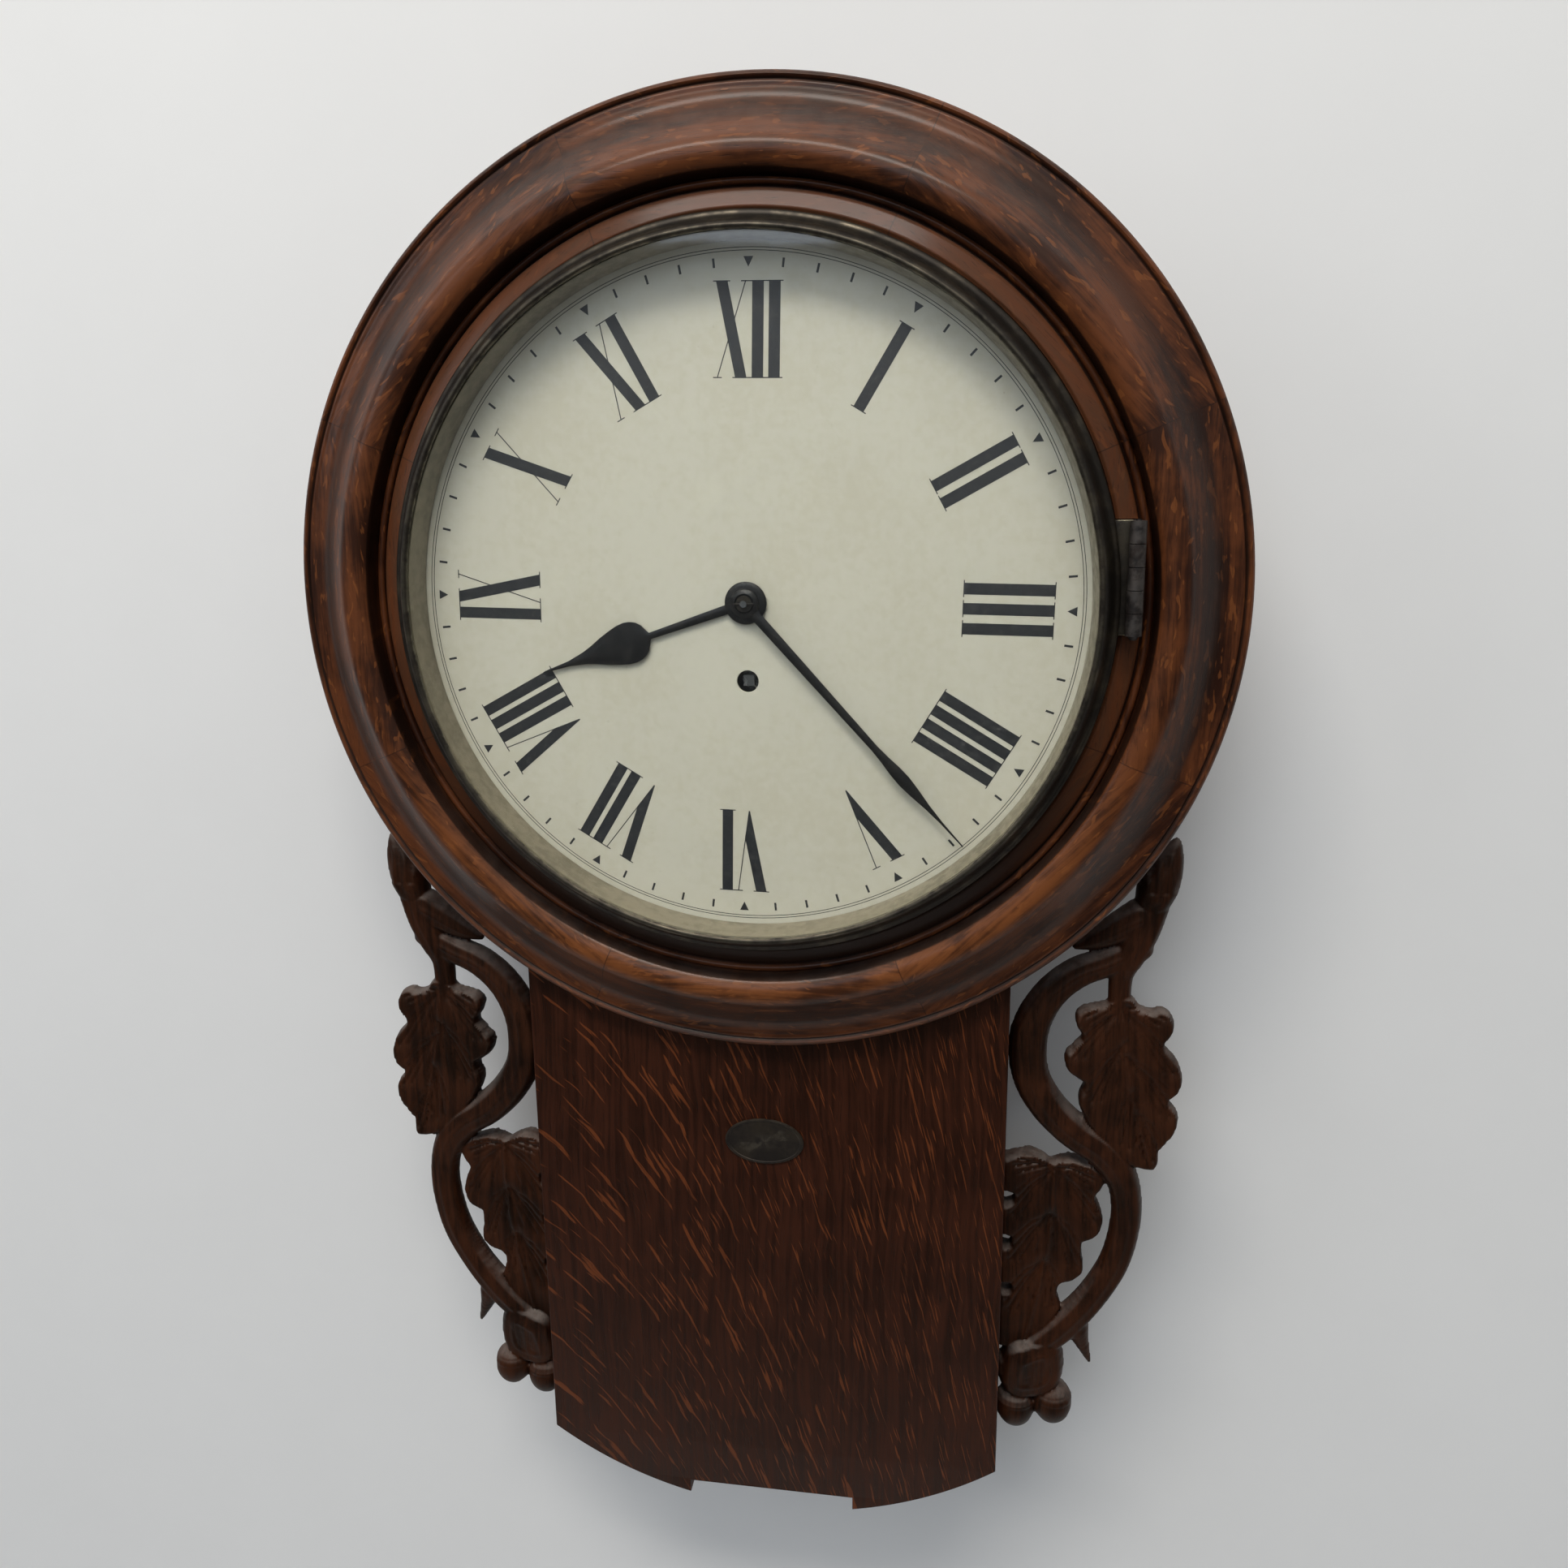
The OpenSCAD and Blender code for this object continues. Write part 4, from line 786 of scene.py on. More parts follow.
@dataclass(frozen=True)
class Metal:
    """A brass, steel or iron surface, bright or tarnished."""

    name: str
    bright: Colour
    tarnish: Colour
    tarnished: float
    metallic: float = 1.0
    shine: Flat = (0.25, 0.5)
    patch_mm: float = 9.0
    scuffs: float = 0.3
    scuff_mm: float = 14.0
    dust: float = 0.0
    dust_mm: float = 5.0
    dust_tone: Colour = paint(150, 145, 135)
    relief_mm: float = 0.03
    wear_and_painted_light: float = 0.0
    edge_wear_and_highlight_tone: Colour = paint(190, 180, 150)

    def material(self) -> Material:
        """Builds the metal's material."""
        material, g = new_material(self.name)
        at = g.where()
        patches = mottle(g, at, self.patch_mm, 2.0)
        spread = g.fade(patches, 0.7 - self.tarnished, 1.3 - self.tarnished)
        colour = g.tint(spread, self.bright, self.tarnish)
        marks = use(g, Effect.SCUFFS, at, Size=self.scuff_mm, Amount=self.scuffs)["Mask"]
        colour = g.tint(marks, colour, scaled(self.bright, 1.5, 0.02))
        # Lightened convex edges: edge wear, and on the bezel's brass also a painted highlight along its edges.
        if self.wear_and_painted_light > 0:
            colour = g.tint(use(g, Effect.WEAR, at, Amount=self.wear_and_painted_light)["Edge"], colour, self.edge_wear_and_highlight_tone)
        if self.dust > 0:
            lies = use(g, Effect.DUST, at, Amount=self.dust, Size=self.dust_mm)["Mask"]
            colour = g.tint(lies, colour, self.dust_tone)
        rough = g.fade(spread, 0.0, 1.0, *self.shine) + marks * 0.15
        made = shader(g, colour, rough, marks * -0.4 + patches * 0.5, self.relief_mm, Metallic=self.metallic)
        return close(material, g, made)


@dataclass(frozen=True)
class Enamel:
    """An old painted surface with faint stains and specks."""

    name: str
    ground: Colour
    stain: Colour
    stained: float
    speck: float
    shine: Flat = (0.4, 0.6)
    fine_mm: float = 5.0
    patch_mm: float = 60.0
    scuff_mm: float = 30.0
    speck_mm: float = 1.6
    speck_tone: Colour = paint(96, 84, 66)
    relief_mm: float = 0.03

    def material(self) -> Material:
        """Builds the paint's material."""
        material, g = new_material(self.name)
        at = g.where()
        fine = mottle(g, at, self.fine_mm, 2.2)
        mixed = fine * 0.45 + mottle(g, at, self.patch_mm, 1.8) * 0.55
        colour = g.tint(g.fade(mixed, 0.35, 0.75) * self.stained, self.ground, self.stain)
        marks = use(g, Effect.SCUFFS, at, Size=self.scuff_mm, Amount=0.18)["Mask"]
        colour = g.tint(marks, colour, self.stain)
        specks = g.fade(g.noise(at, self.speck_mm, 1.0, 0.4), 0.76, 0.80)
        colour = g.tint(specks * self.speck, colour, self.speck_tone)
        rough = g.fade(fine, 0.2, 0.8, *self.shine)
        made = shader(g, colour, rough, fine, self.relief_mm, Coat_Weight=0.1, Coat_Roughness=0.3)
        return close(material, g, made)


@dataclass(frozen=True)
class Ink:
    """Printed black that has thinned a little."""

    name: str
    black: Colour
    thin: Colour
    patch_mm: float = 3.0

    def material(self) -> Material:
        """Builds the ink's material."""
        material, g = new_material(self.name)
        patches = mottle(g, g.where(), self.patch_mm, 2.4)
        colour = g.tint(g.fade(patches, 0.45, 0.95), self.black, self.thin)
        return close(material, g, shader(g, colour, g.fade(patches, 0.0, 1.0, 0.45, 0.7)))


@dataclass(frozen=True)
class Pane:
    """Old clear glass, very slightly wavy."""

    name: str
    wave_mm: float = 40.0
    relief_mm: float = 0.06
    clearness: Colour = (0.96, 0.97, 0.96, 1.0)

    def material(self) -> Material:
        """Builds the glass, which lets lamps through so that the dial behind it is lit."""
        material, g = new_material(self.name)
        wave = g.noise(g.where(), self.wave_mm, 2.0)
        made = shader(g, paint(250, 252, 250), 0.03, wave, self.relief_mm, Transmission_Weight=1.0, IOR=1.45)
        clear = g.node("ShaderNodeBsdfTransparent", {"Color": self.clearness})
        lamp_ray = g.node("ShaderNodeLightPath", output="Is Shadow Ray")
        return close(material, g, g.blend(lamp_ray, made, clear))


FINISHES = {finish.name: finish for finish in (
    Varnish("surround_varnish", paint(42, 19, 9), paint(92, 49, 24), paint(72, 45, 28)),
    Wood("trunk_oak", paint(33, 13, 6), paint(54, 24, 12), Run.SLANT, 2.4, fleck=paint(98, 50, 24),
         fleck_mm=(3.8, 24.0), fleck_share=0.52, coat=0.05, sheen=0.22),
    Wood("carved_oak", paint(20, 9, 5), paint(56, 28, 14), clouds=0.7, shine=(0.42, 0.6), coat=0.05, dust=0.35,
         wear=0.3, sheen=0.18),
    Wood("case_oak", paint(42, 22, 13), paint(74, 42, 25), fleck_share=0.3, clouds=0.4, shine=(0.5, 0.7)),
    Wood("bare_wood", paint(150, 116, 76), paint(186, 152, 104), streak_mm=2.4, clouds=0.3, shine=(0.6, 0.75)),
    Enamel("dial_paint", paint(180, 175, 159), paint(167, 159, 137), 0.4, 0.3),
    Enamel("cream_brass", paint(118, 109, 90), paint(84, 77, 61), 0.6, 0.25, shine=(0.35, 0.5)),
    Ink("dial_ink", paint(15, 15, 17), paint(42, 41, 40)),
    Pane("glazing"),
    # Its lightened edges are partly a painted highlight.
    Metal("dark_brass", paint(78, 70, 57), paint(40, 35, 29), 0.65, metallic=0.75, shine=(0.3, 0.45),
          patch_mm=16.0, scuffs=0.12, wear_and_painted_light=0.8),
    Metal("black_steel", paint(20, 19, 18), paint(32, 29, 26), 0.4, metallic=0.5, shine=(0.4, 0.55),
          scuffs=0.12, patch_mm=5.0),
    Metal("plate_brass", paint(196, 154, 84), paint(132, 98, 52), 0.4, shine=(0.22, 0.42)),
    Metal("bright_steel", paint(176, 176, 174), paint(120, 116, 110), 0.35, shine=(0.2, 0.4)),
    Metal("blued_steel", paint(52, 64, 92), paint(34, 38, 52), 0.4, shine=(0.22, 0.4), scuffs=0.15),
    Metal("old_iron", paint(40, 36, 34), paint(50, 42, 37), 0.5, metallic=0.6, shine=(0.42, 0.6),
          patch_mm=4.0, dust=0.1, wear_and_painted_light=0.4, edge_wear_and_highlight_tone=paint(104, 98, 92)),
    Metal("old_plate", paint(62, 54, 44), paint(38, 32, 27), 0.6, metallic=0.6, shine=(0.4, 0.55),
          patch_mm=14.0, scuffs=0.0, wear_and_painted_light=0.4, edge_wear_and_highlight_tone=paint(104, 96, 82)),
    Metal("dark_collet", paint(58, 50, 38), paint(30, 27, 23), 0.6, metallic=0.7, shine=(0.35, 0.5)),
)}
NODE_FINISHES = {"hand_collet": "dark_collet"}
BOARD_RUNS = {"case_top": Run.X, "bottom_boards": Run.Y, "pegs": Run.X, "backboard": Run.Z}


class Palette:
    """Builds each finish once and hands out its material."""

    def __init__(self) -> None:
        """Starts with nothing built."""
        self.built: dict[str, Material] = {}

    def get(self, slot: str, run: Run | None = None) -> Material:
        """The material of a slot; where a run is given, a wood's grain is turned that way."""
        finish = FINISHES[slot]
        if run and isinstance(finish, Wood):
            finish = replace(finish, name=f"{slot}_{run.name.lower()}", run=run)
        if finish.name not in self.built:
            self.built[finish.name] = finish.material()
        return self.built[finish.name]


# Pieces


@dataclass
class Surround:
    """The turned and moulded wooden ring round the dial."""

    palette: Palette
    bore_r: float = 140.0
    seat_r: float = 163.0
    outer_r: float = 220.0
    back: float = 98.0
    seat: float = 118.5
    rim: float = 107.0
    roll_at: float = 185.23
    roll_r: float = 9.5
    bead_at: float = 175.31
    bead_r: float = 1.8
    quirk_out: float = 115.2
    fine_to: float = 181.0
    fine_step: float = 0.3
    step: float = 0.6
    hollow: Flat = (193.0, 214.0)
    housing: tuple[float, float, float, float] = (156.0, 169.3, -13.4, 35.4)
    housing_front: float = 143.0

    def front(self, r: Array) -> Array:
        """Distance of the moulded front from the wall at each radius."""
        s, b, q, e, o = self.seat, self.bead_at, self.quirk_out, self.outer_r, self.rim
        points = [(self.seat_r, s + 2.9), (164.4, s + 3.9), (b - 3.9, s + 1.1), (b - 2.7, s), (b - 2.3, q),
                  (b + 2.6, q), (b + 2.62, 118.0), (self.roll_at, 119.5), (191.9, 125.2), (204.1, o + 6),
                  (e - 13.8, o + 4.3), (e - 11.6, o + 3), (e - 9, o + 2.2), (e - 4, o + 1.7), (e - 3.8, o + 0.4),
                  (e - 3.2, o + 0.4), (e - 3, o + 1.3), (e - 1.8, o + 1.9), (e - 0.6, o + 1.2), (e, o)]
        line = np.interp(r, *zip(*points))
        bead = s - 1.9 + hump(r, b, self.bead_r)
        line = np.where(np.abs(r - b) < self.bead_r, np.maximum(line, bead), line)
        roll = s + hump(r, self.roll_at, self.roll_r)
        return np.where((r > b + 2.6) & (r < self.roll_at + self.roll_r), np.maximum(line, roll), line)

    def profile(self) -> list[Flat]:
        """The whole section, its front with softened arrises."""
        r = np.concatenate([np.arange(self.seat_r, self.fine_to, self.fine_step),
                            np.arange(self.fine_to, self.outer_r, self.step), [self.outer_r]])
        near, wide = ([self.front(np.clip(r + d, self.seat_r, self.outer_r)) for d in shifts]
                      for shifts in (np.linspace(-0.5, 0.5, 5), np.linspace(-3.0, 3.0, 13)))
        out = np.where((r > self.hollow[0]) & (r < self.hollow[1]), np.mean(wide, axis=0),
                       np.average(near, axis=0, weights=[1, 2, 3, 2, 1]))
        return [(self.bore_r, self.back), (self.bore_r, self.seat), (self.seat_r, self.seat),
                *zip(r.tolist(), out.tolist()), (self.outer_r, self.back + 0.8), (self.outer_r - 0.6, self.back)]

    def build(self) -> list[Object]:
        """Turns the ring and cuts the housing of the hinge."""
        varnish = self.palette.get("surround_varnish")
        ring = turn("surround_ring", self.profile(), varnish)
        x0, x1, z0, z1 = self.housing
        corners = [(x, -out, z) for x in (x0, x1) for out in (self.seat, self.housing_front) for z in (z0, z1)]
        faces = [(0, 1, 3, 2), (4, 6, 7, 5), (0, 4, 5, 1), (2, 3, 7, 6), (0, 2, 6, 4), (1, 5, 7, 3)]
        cutter = make_piece("housing_cutter", corners, faces, varnish)
        cut = ring.modifiers.new("housing", "BOOLEAN")
        cut.operation, cut.object, cut.solver = "DIFFERENCE", cutter, "EXACT"
        mesh = worked_out(ring)
        ring.modifiers.clear()
        ring.data = mesh
        bpy.data.objects.remove(cutter)
        mesh.set_sharp_from_angle(angle=math.radians(CREASE))
        return [carry(ring, "case", "surround_varnish", "surround")]


@dataclass
class GlazedBezel:
    """The brass bezel with its lug and the sight ring behind the glass."""

    palette: Palette
    outer_r: float = 162.0
    bore_r: float = 155.0
    lip_r: float = 152.4
    back: float = 120.6
    edge: float = 130.4
    lip: float = 138.3
    front: float = 140.2
    sight_r: float = 151.0
    sight_back_r: float = 154.8
    sight_h: float = 15.3
    lug: tuple[float, float, float, float] = (161.5, 165.7, -13.0, 35.0)
    lug_front: float = 127.3

    def rim(self) -> Object:
        """Turns the bezel: a rounded outer edge, a fine groove and a round lip."""
        r, e, n, f = self.outer_r, self.edge, self.lip_r, self.front
        edge = [(r, e - 1.8), (r - 0.12, e - 1.1), (r - 0.45, e - 0.5), (r - 0.95, e - 0.12), (r - 1.5, e + 0.1),
                (r - 2.1, e + 0.3), (r - 2.7, e + 0.8), (r - 3.1, e + 1.4)]
        lip = [(n + 5.9, f - 7.6), (n + 5.4, f - 6.6), (n + 5.1, f - 5.95), (n + 4.95, f - 5.6), (n + 4.95, f - 5.1),
               (n + 4.7, f - 4.4), (n + 4.3, f - 3.4), (n + 3.8, f - 2.4), (n + 3.2, f - 1.4), (n + 2.6, f - 0.6),
               (n + 2.0, f - 0.15), (n + 1.4, f), (n + 0.8, f - 0.15), (n + 0.3, f - 0.5), (n, f - 1.0)]
        profile = [(r - 0.2, self.back), (r, self.back + 0.3), *edge, *lip, (n, self.lip), (self.bore_r, self.lip),
                   (self.bore_r, self.back)]
        return turn("bezel_rim", profile, self.palette.get("dark_brass"), crease=30)

    def lug_block(self) -> Object:
        """The lug between the rim and the moving leaf of the hinge."""
        x0, x1, z0, z1 = self.lug
        outline = [(math.sqrt(x0 ** 2 - z ** 2), z) for z in np.linspace(z0, z1, 9)] + [(x1, z1), (x1, z0)]
        return fret("bezel_lug", [outline], self.back, self.lug_front, self.palette.get("dark_brass"), ease=0.3)

    def sight(self) -> Object:
        """The steep sight ring, slightly hollow, with a small step at its foot."""
        r, b, h = self.sight_r, self.back, self.sight_h
        slope = [(r + 1.4 * t - 0.3 * math.sin(math.pi * t), b + 1.0 + (h - 1.0) * t) for t in np.linspace(0, 1, 9)]
        profile = [(self.sight_back_r, b), (r + 0.2, b), (r, b + 0.5), *slope, (self.sight_back_r, b + h)]
        return turn("sight_cone", profile, self.palette.get("cream_brass"))

    def build(self) -> list[Object]:
        """Makes the bezel's pieces; the flat glass keeps its solid."""
        return [carry(self.rim(), "bezel_door", "dark_brass", "bezel"),
                carry(self.lug_block(), "bezel_door", "dark_brass"),
                carry(self.sight(), "bezel_door", "cream_brass", "sight_ring")]


@dataclass
class Dial:
    """The painted dial plate and what is printed on it."""

    palette: Palette
    radius: float = 158.0
    back: float = 118.5
    face: float = 120.0
    turned: float = 1.45
    centre_hole_r: float = 4.7
    winding_hole_r: float = 5.0
    winding_z: float = -35.5
    screw_r: float = 1.7
    screws_at: float = 154.5
    foot_r: float = 96.0
    height: float = 39.5
    stroke: float = 5.0
    serif: float = 1.2
    v_width: float = 14.0
    v_apex: float = 8.3
    x_width: float = 13.5
    gap: float = 2.2
    wide_gaps: Sequence[tuple[str, float]] = (("III", 3.7), ("II", 3.2))
    hair: float = 0.45
    dash: tuple[float, float, float] = (0.5, 141.2, 145.0)
    triangle: Flat = (2.1, 140.8)
    circle_r: Flat = (147.3, 148.5)
    circle_w: float = 0.3
    sunk: float = 0.02
    numerals: tuple[str, ...] = ("XII", "I", "II", "III", "IIII", "V", "VI", "VII", "VIII", "IX", "X", "XI")

    def plate(self) -> Object:
        """The sheet with its centre hole, winding hole and screw holes."""
        screws = [ring_points(self.screw_r, 12, (self.screws_at * math.cos(a), self.screws_at * math.sin(a)))
                  for a in np.radians([45, 135, 225, 315])]
        holes = [ring_points(self.centre_hole_r, 48), ring_points(self.winding_hole_r, 48, (0.0, self.winding_z)),
                 *screws]
        return fret("dial_plate", [ring_points(self.radius, 240), *holes], self.back, self.face,
                    self.palette.get("dial_paint"), ease=0.25, crease=4)

    def rule(self, x0: float, y0: float, x1: float, y1: float) -> list[Flat]:
        """A hairline between two points."""
        length = math.hypot(x1 - x0, y1 - y0)
        u, v = -(y1 - y0) / length * self.hair / 2, (x1 - x0) / length * self.hair / 2
        return [(x0 + u, y0 + v), (x0 - u, y0 - v), (x1 - u, y1 - v), (x1 + u, y1 + v)]

    def letter(self, kind: str, x: float) -> tuple[list, list, float]:
        """The strokes of one letter of a numeral, feet on the line.

        Args:
            kind: I, V or X.
            x: Left end of the letter.

        Returns:
            Thick strokes, hairlines and the letter's width.
        """
        h, w, t, serif = self.height, self.stroke, self.hair, self.serif
        if kind == "I":
            hairs = [self.rule(x - serif, y, x + w + serif, y) for y in (t / 2, h - t / 2)]
            return [[(x, 0.2), (x + w, 0.2), (x + w, h - 0.2), (x, h - 0.2)]], hairs, w
        if kind == "V":
            width, apex = self.v_width, self.v_apex
            left = apex * (2 / 3)
            thick = [(x + apex, 0.0), (x + left + w, h / 3), (x + w, h), (x, h), (x + left, h / 3)]
            hairs = [self.rule(x - serif, h - t / 2, x + w + serif, h - t / 2),
                     self.rule(x + width - 2.6, h - t / 2, x + width + 1.4, h - t / 2),
                     self.rule(x + apex + 0.3, 0.3, x + width - 0.5, h)]
            return [thick], hairs, width
        width = self.x_width
        thick = [(x + width - w, 0.0), (x + width, 0.0), (x + w, h), (x, h)]
        hairs = [self.rule(x + 0.6, 0.0, x + width - 0.6, h)]
        hairs += [self.rule(a - serif, y, b + serif, y) for a, b, y in (
            (x, x + w, h - t / 2), (x + width - 1.4, x + width, h - t / 2),
            (x, x + 1.4, t / 2), (x + width - w, x + width, t / 2))]
        return [thick], hairs, width

    def numeral(self, text: str, hour: int) -> tuple[list, list]:
        """Lays out one numeral with its feet towards the centre.

        Args:
            text: Its letters.
            hour: The hour that it stands at.

        Returns:
            Its thick strokes and its hairlines, in their place on the dial.
        """
        gap = dict(self.wide_gaps).get(text, self.gap)
        x, thick, thin = 0.0, [], []
        for kind in text:
            strokes, hairs, width = self.letter(kind, x)
            thick += strokes
            thin += hairs
            x += width + gap
        middle = (x - gap) / 2
        thick, thin = ([turned_about([(px - middle, self.foot_r + py) for px, py in shape], hour * 30 + self.turned)
                        for shape in shapes] for shapes in (thick, thin))
        return thick, thin

    def track(self) -> list[list[Flat]]:
        """The minute marks: dashes, and a small triangle at each fifth."""
        half, low, high = self.dash
        wide, tip = self.triangle
        dash = [(-half, low), (half, low), (half, high), (-half, high)]
        triangle = [(0.0, tip), (wide, high), (-wide, high)]
        return [turned_about(dash if minute % 5 else triangle, minute * 6 + self.turned) for minute in range(60)]

    def circles(self) -> list[list[Flat]]:
        """The two fine circles outside the minute marks, in short straight lengths."""
        return [[*turned_about([(0, radius), (0, radius + self.circle_w)], i * 2.0),
                 *turned_about([(0, radius + self.circle_w), (0, radius)], i * 2.0 + 2.02)]
                for radius in self.circle_r for i in range(180)]

    def build(self) -> list[Object]:
        """Makes the plate and its print."""
        thick, thin = [], []
        for hour, text in enumerate(self.numerals):
            strokes, hairs = self.numeral(text, hour)
            thick += strokes
            thin += hairs
        ink = self.palette.get("dial_ink")
        pieces = [carry(self.plate(), "case", "dial_paint", "dial")]
        for name, shapes, raised in (("dial_numerals", thick, 0.06), ("dial_hairlines", thin, 0.04),
                                     ("dial_minutes", self.track(), 0.05), ("dial_circles", self.circles(), 0.03)):
            marks = stamps(name, shapes, self.face - self.sunk, self.face + raised, ink)
            pieces.append(carry(marks, "case", "dial_paint"))
        return pieces


@dataclass(frozen=True)
class Hand:
    """The sizes of one hand: where it points and stands, its half widths by height, and its boss."""

    name: str
    body: str
    angle: float
    out: float
    start: float
    shape: Line
    boss: Line


HANDS = (
    Hand("hour", "hour", 251.5, 121.2, 8.5,
         ((0, 2.3), (47, 1.5), (48, 3), (49.5, 5.9), (51.5, 7.8), (54, 9), (57, 9.5), (60.5, 9.2), (65, 8), (70, 6.4),
          (75, 4.4), (80, 2.8), (88, 1.2), (101, 0.35)),
         ((3.7, 121.2), (9.0, 121.2), (9.5, 121.5), (9.5, 122.0), (8.9, 122.5), (7.6, 122.7), (3.7, 122.8))),
    Hand("minute", "centre", 138.0, 124.0, 5.8,
         ((0, 2.4), (87, 1.6), (94, 2), (101, 2.7), (107, 2.9), (114, 2.3), (123, 1.2), (132, 0.55), (147, 0.25)),
         ((2.2, 124.0), (6.2, 124.0), (6.5, 124.3), (6.4, 124.9), (5.6, 125.5), (4.4, 125.9), (3.8, 125.1),
          (2.2, 125.1))),
)


@dataclass
class Hands:
    """The blackened hands with their bosses."""

    palette: Palette
    hands: Sequence[Hand] = HANDS
    step: float = 3.0
    side_h: float = 0.6
    shoulder_h: float = 0.85
    middle_h: float = 0.8
    crown: Flat = (0.45, 0.12)

    def blade(self, hand: Hand) -> Object:
        """One hand from its boss to its tip, with a slightly crowned face.

        Args:
            hand: The hand's sizes.

        Returns:
            The blade.
        """
        out, tall = hand.out, [h for h, _ in hand.shape]
        heights = np.unique(np.concatenate([[hand.start], [h for h in tall if h > hand.start],
                                            np.arange(hand.start + self.step, tall[-1], self.step)]))
        verts: list[Point] = []
        for y, w in zip(heights, np.interp(heights, *zip(*hand.shape))):
            side, shoulder = out + self.side_h, out + self.shoulder_h
            middle = out + self.middle_h + min(self.crown[0], self.crown[1] * w)
            section = [(-w, out), (-w, side), (-0.6 * w, shoulder), (0.0, middle), (0.6 * w, shoulder), (w, side),
                       (w, out)]
            flat = turned_about([(x, y) for x, _ in section], hand.angle)
            verts += [(x, -o, z) for (x, z), (_, o) in zip(flat, section)]
        rows, count = len(heights), len(section)
        faces = skin(rows, count) + [tuple(range(count)), tuple(range((rows - 1) * count, rows * count))]
        return make_piece(f"{hand.name}_blade", verts, faces, self.palette.get("black_steel"), crease=50)

    def build(self) -> list[Object]:
        """Makes both hands and their turned bosses."""
        steel = self.palette.get("black_steel")
        bosses = [turn(f"{hand.name}_boss", hand.boss, steel, steps=72) for hand in self.hands]
        pieces = []
        for hand, boss in zip(self.hands, bosses):
            pieces.append(carry(self.blade(hand), hand.body, "black_steel", f"{hand.name}_hand"))
            pieces.append(carry(boss, hand.body, "black_steel"))
        return pieces


@dataclass
class Trunk:
    """The oak front board with its curved foot, and the blank oval plate on it."""

    palette: Palette
    half_w: float = 122.5
    top: float = -120.0
    foot_z: float = -293.928
    foot_r: float = 210.0
    notch_half: float = 45.5
    notch_z: float = -491.44
    back: float = 86.0
    front: float = 98.0
    plate_z: float = -278.0
    plate_half: Flat = (20.5, 12.5)
    plate_section: Line = ((1.0, 98.0), (1.0, 98.7), (0.985, 99.1), (0.95, 99.2), (0.915, 99.1), (0.895, 98.75),
                           (0.6, 98.8), (0.001, 98.85), (0.001, 98.0))

    def outline(self) -> list[Flat]:
        """The board's outline from the top right corner round."""
        edge, notch = (math.degrees(math.acos(x / self.foot_r)) for x in (self.half_w, self.notch_half))
        arc = [(self.foot_r * math.cos(math.radians(a)), self.foot_z - self.foot_r * math.sin(math.radians(a)))
               for a in np.linspace(edge, notch, 24)]
        side = [(self.half_w, self.top), *arc, (self.notch_half, self.notch_z)]
        return side + [(-x, z) for x, z in reversed(side)]

    def build(self) -> list[Object]:
        """Makes the board and the plate."""
        board = fret("trunk_board", [self.outline()], self.back, self.front, self.palette.get("trunk_oak"),
                     ease=0.9, crease=20)
        plate = turn("oval_plate", self.plate_section, self.palette.get("old_plate"), steps=96,
                     at=(0.0, self.plate_z), squeeze=self.plate_half)
        return [carry(board, "case", "trunk_oak", "trunk_front"),
                carry(plate, "case", "dark_brass", "number_plate")]


class Side(enum.Enum):
    """The side of the trunk that an ear stands on."""

    LEFT = -1
    RIGHT = 1


@dataclass(frozen=True)
class Leaf:
    """A carved leaf: its edge, the tips of its lobes with their start down the midrib, and the midrib."""

    edge: Line
    tips: Sequence[Point]
    rib: Line
    shift: float = 0.0


UPPER_LEAF = Leaf(
    ((171, -198), (165, -200), (160, -201.5), (156, -204), (155, -208), (156, -212.5), (158.5, -217), (155, -222),
     (151.5, -226), (150.5, -230.5), (152, -235.5), (156, -239), (160.5, -242), (159, -247), (158, -252), (160, -258),
     (165, -265), (172, -272), (180, -280), (186, -285), (191, -287), (196, -287.5), (199, -284), (199, -277),
     (202.5, -271.5), (206, -266), (207.5, -259), (206, -254), (202.5, -249.5), (206, -245), (208.3, -239),
     (207, -232), (204, -226), (198.5, -219.5), (201.5, -214.5), (202.8, -209), (201, -203.5), (197, -201),
     (191, -201.5), (186, -200), (181, -195)),
    ((157, -206, 0.0), (152, -231, 0.03), (162, -256, 0.2), (200, -205, 0.0), (207, -238, 0.06), (206, -261, 0.3),
     (184, -280, 0.45), (197, -285, 0.6)),
    ((177, -200), (180, -225), (185, -250), (191, -270), (196, -284)))
LOWER_LEAF = Leaf(
    ((122, -289), (127, -285), (133, -283), (139, -283.5), (143.5, -285.5), (147, -287.5), (151, -285.5), (157, -285),
     (164, -287), (169, -290), (172.5, -294), (172.5, -300), (169.5, -305.5), (172, -312), (173.5, -319), (172, -326),
     (168, -330), (163.5, -333), (164.3, -342), (164.5, -350), (160, -354.5), (154, -357.5), (152, -363),
     (153.5, -371), (146, -383), (136, -392), (122, -396), (122, -366), (127, -364.5), (127.5, -360), (122, -357.5),
     (122, -340), (126.5, -337), (126.5, -332), (122, -329), (122, -315), (127, -312), (127.5, -307), (122, -304)),
    ((125, -290, 0.0), (170, -295, 0.0), (124, -322, 0.04), (172, -322, 0.04), (124, -349, 0.25), (163, -350, 0.25),
     (124, -379, 0.5), (151, -374, 0.5)),
    ((148, -290), (147, -325), (142, -360), (136, -390)), -2.0)
BUD = ((198.5, -116, 2.2), (197, -121, 5), (194.5, -128, 8), (191.5, -137, 10), (189.5, -144, 9))
BRANCH = ((189, -149, 8), (185, -161, 8.5), (180, -173, 8), (176, -185, 6), (176, -203, 5.5))
SPUR = ((183, -154, 9), (172, -161, 7.5), (162, -167, 5), (154, -170.5, 2))
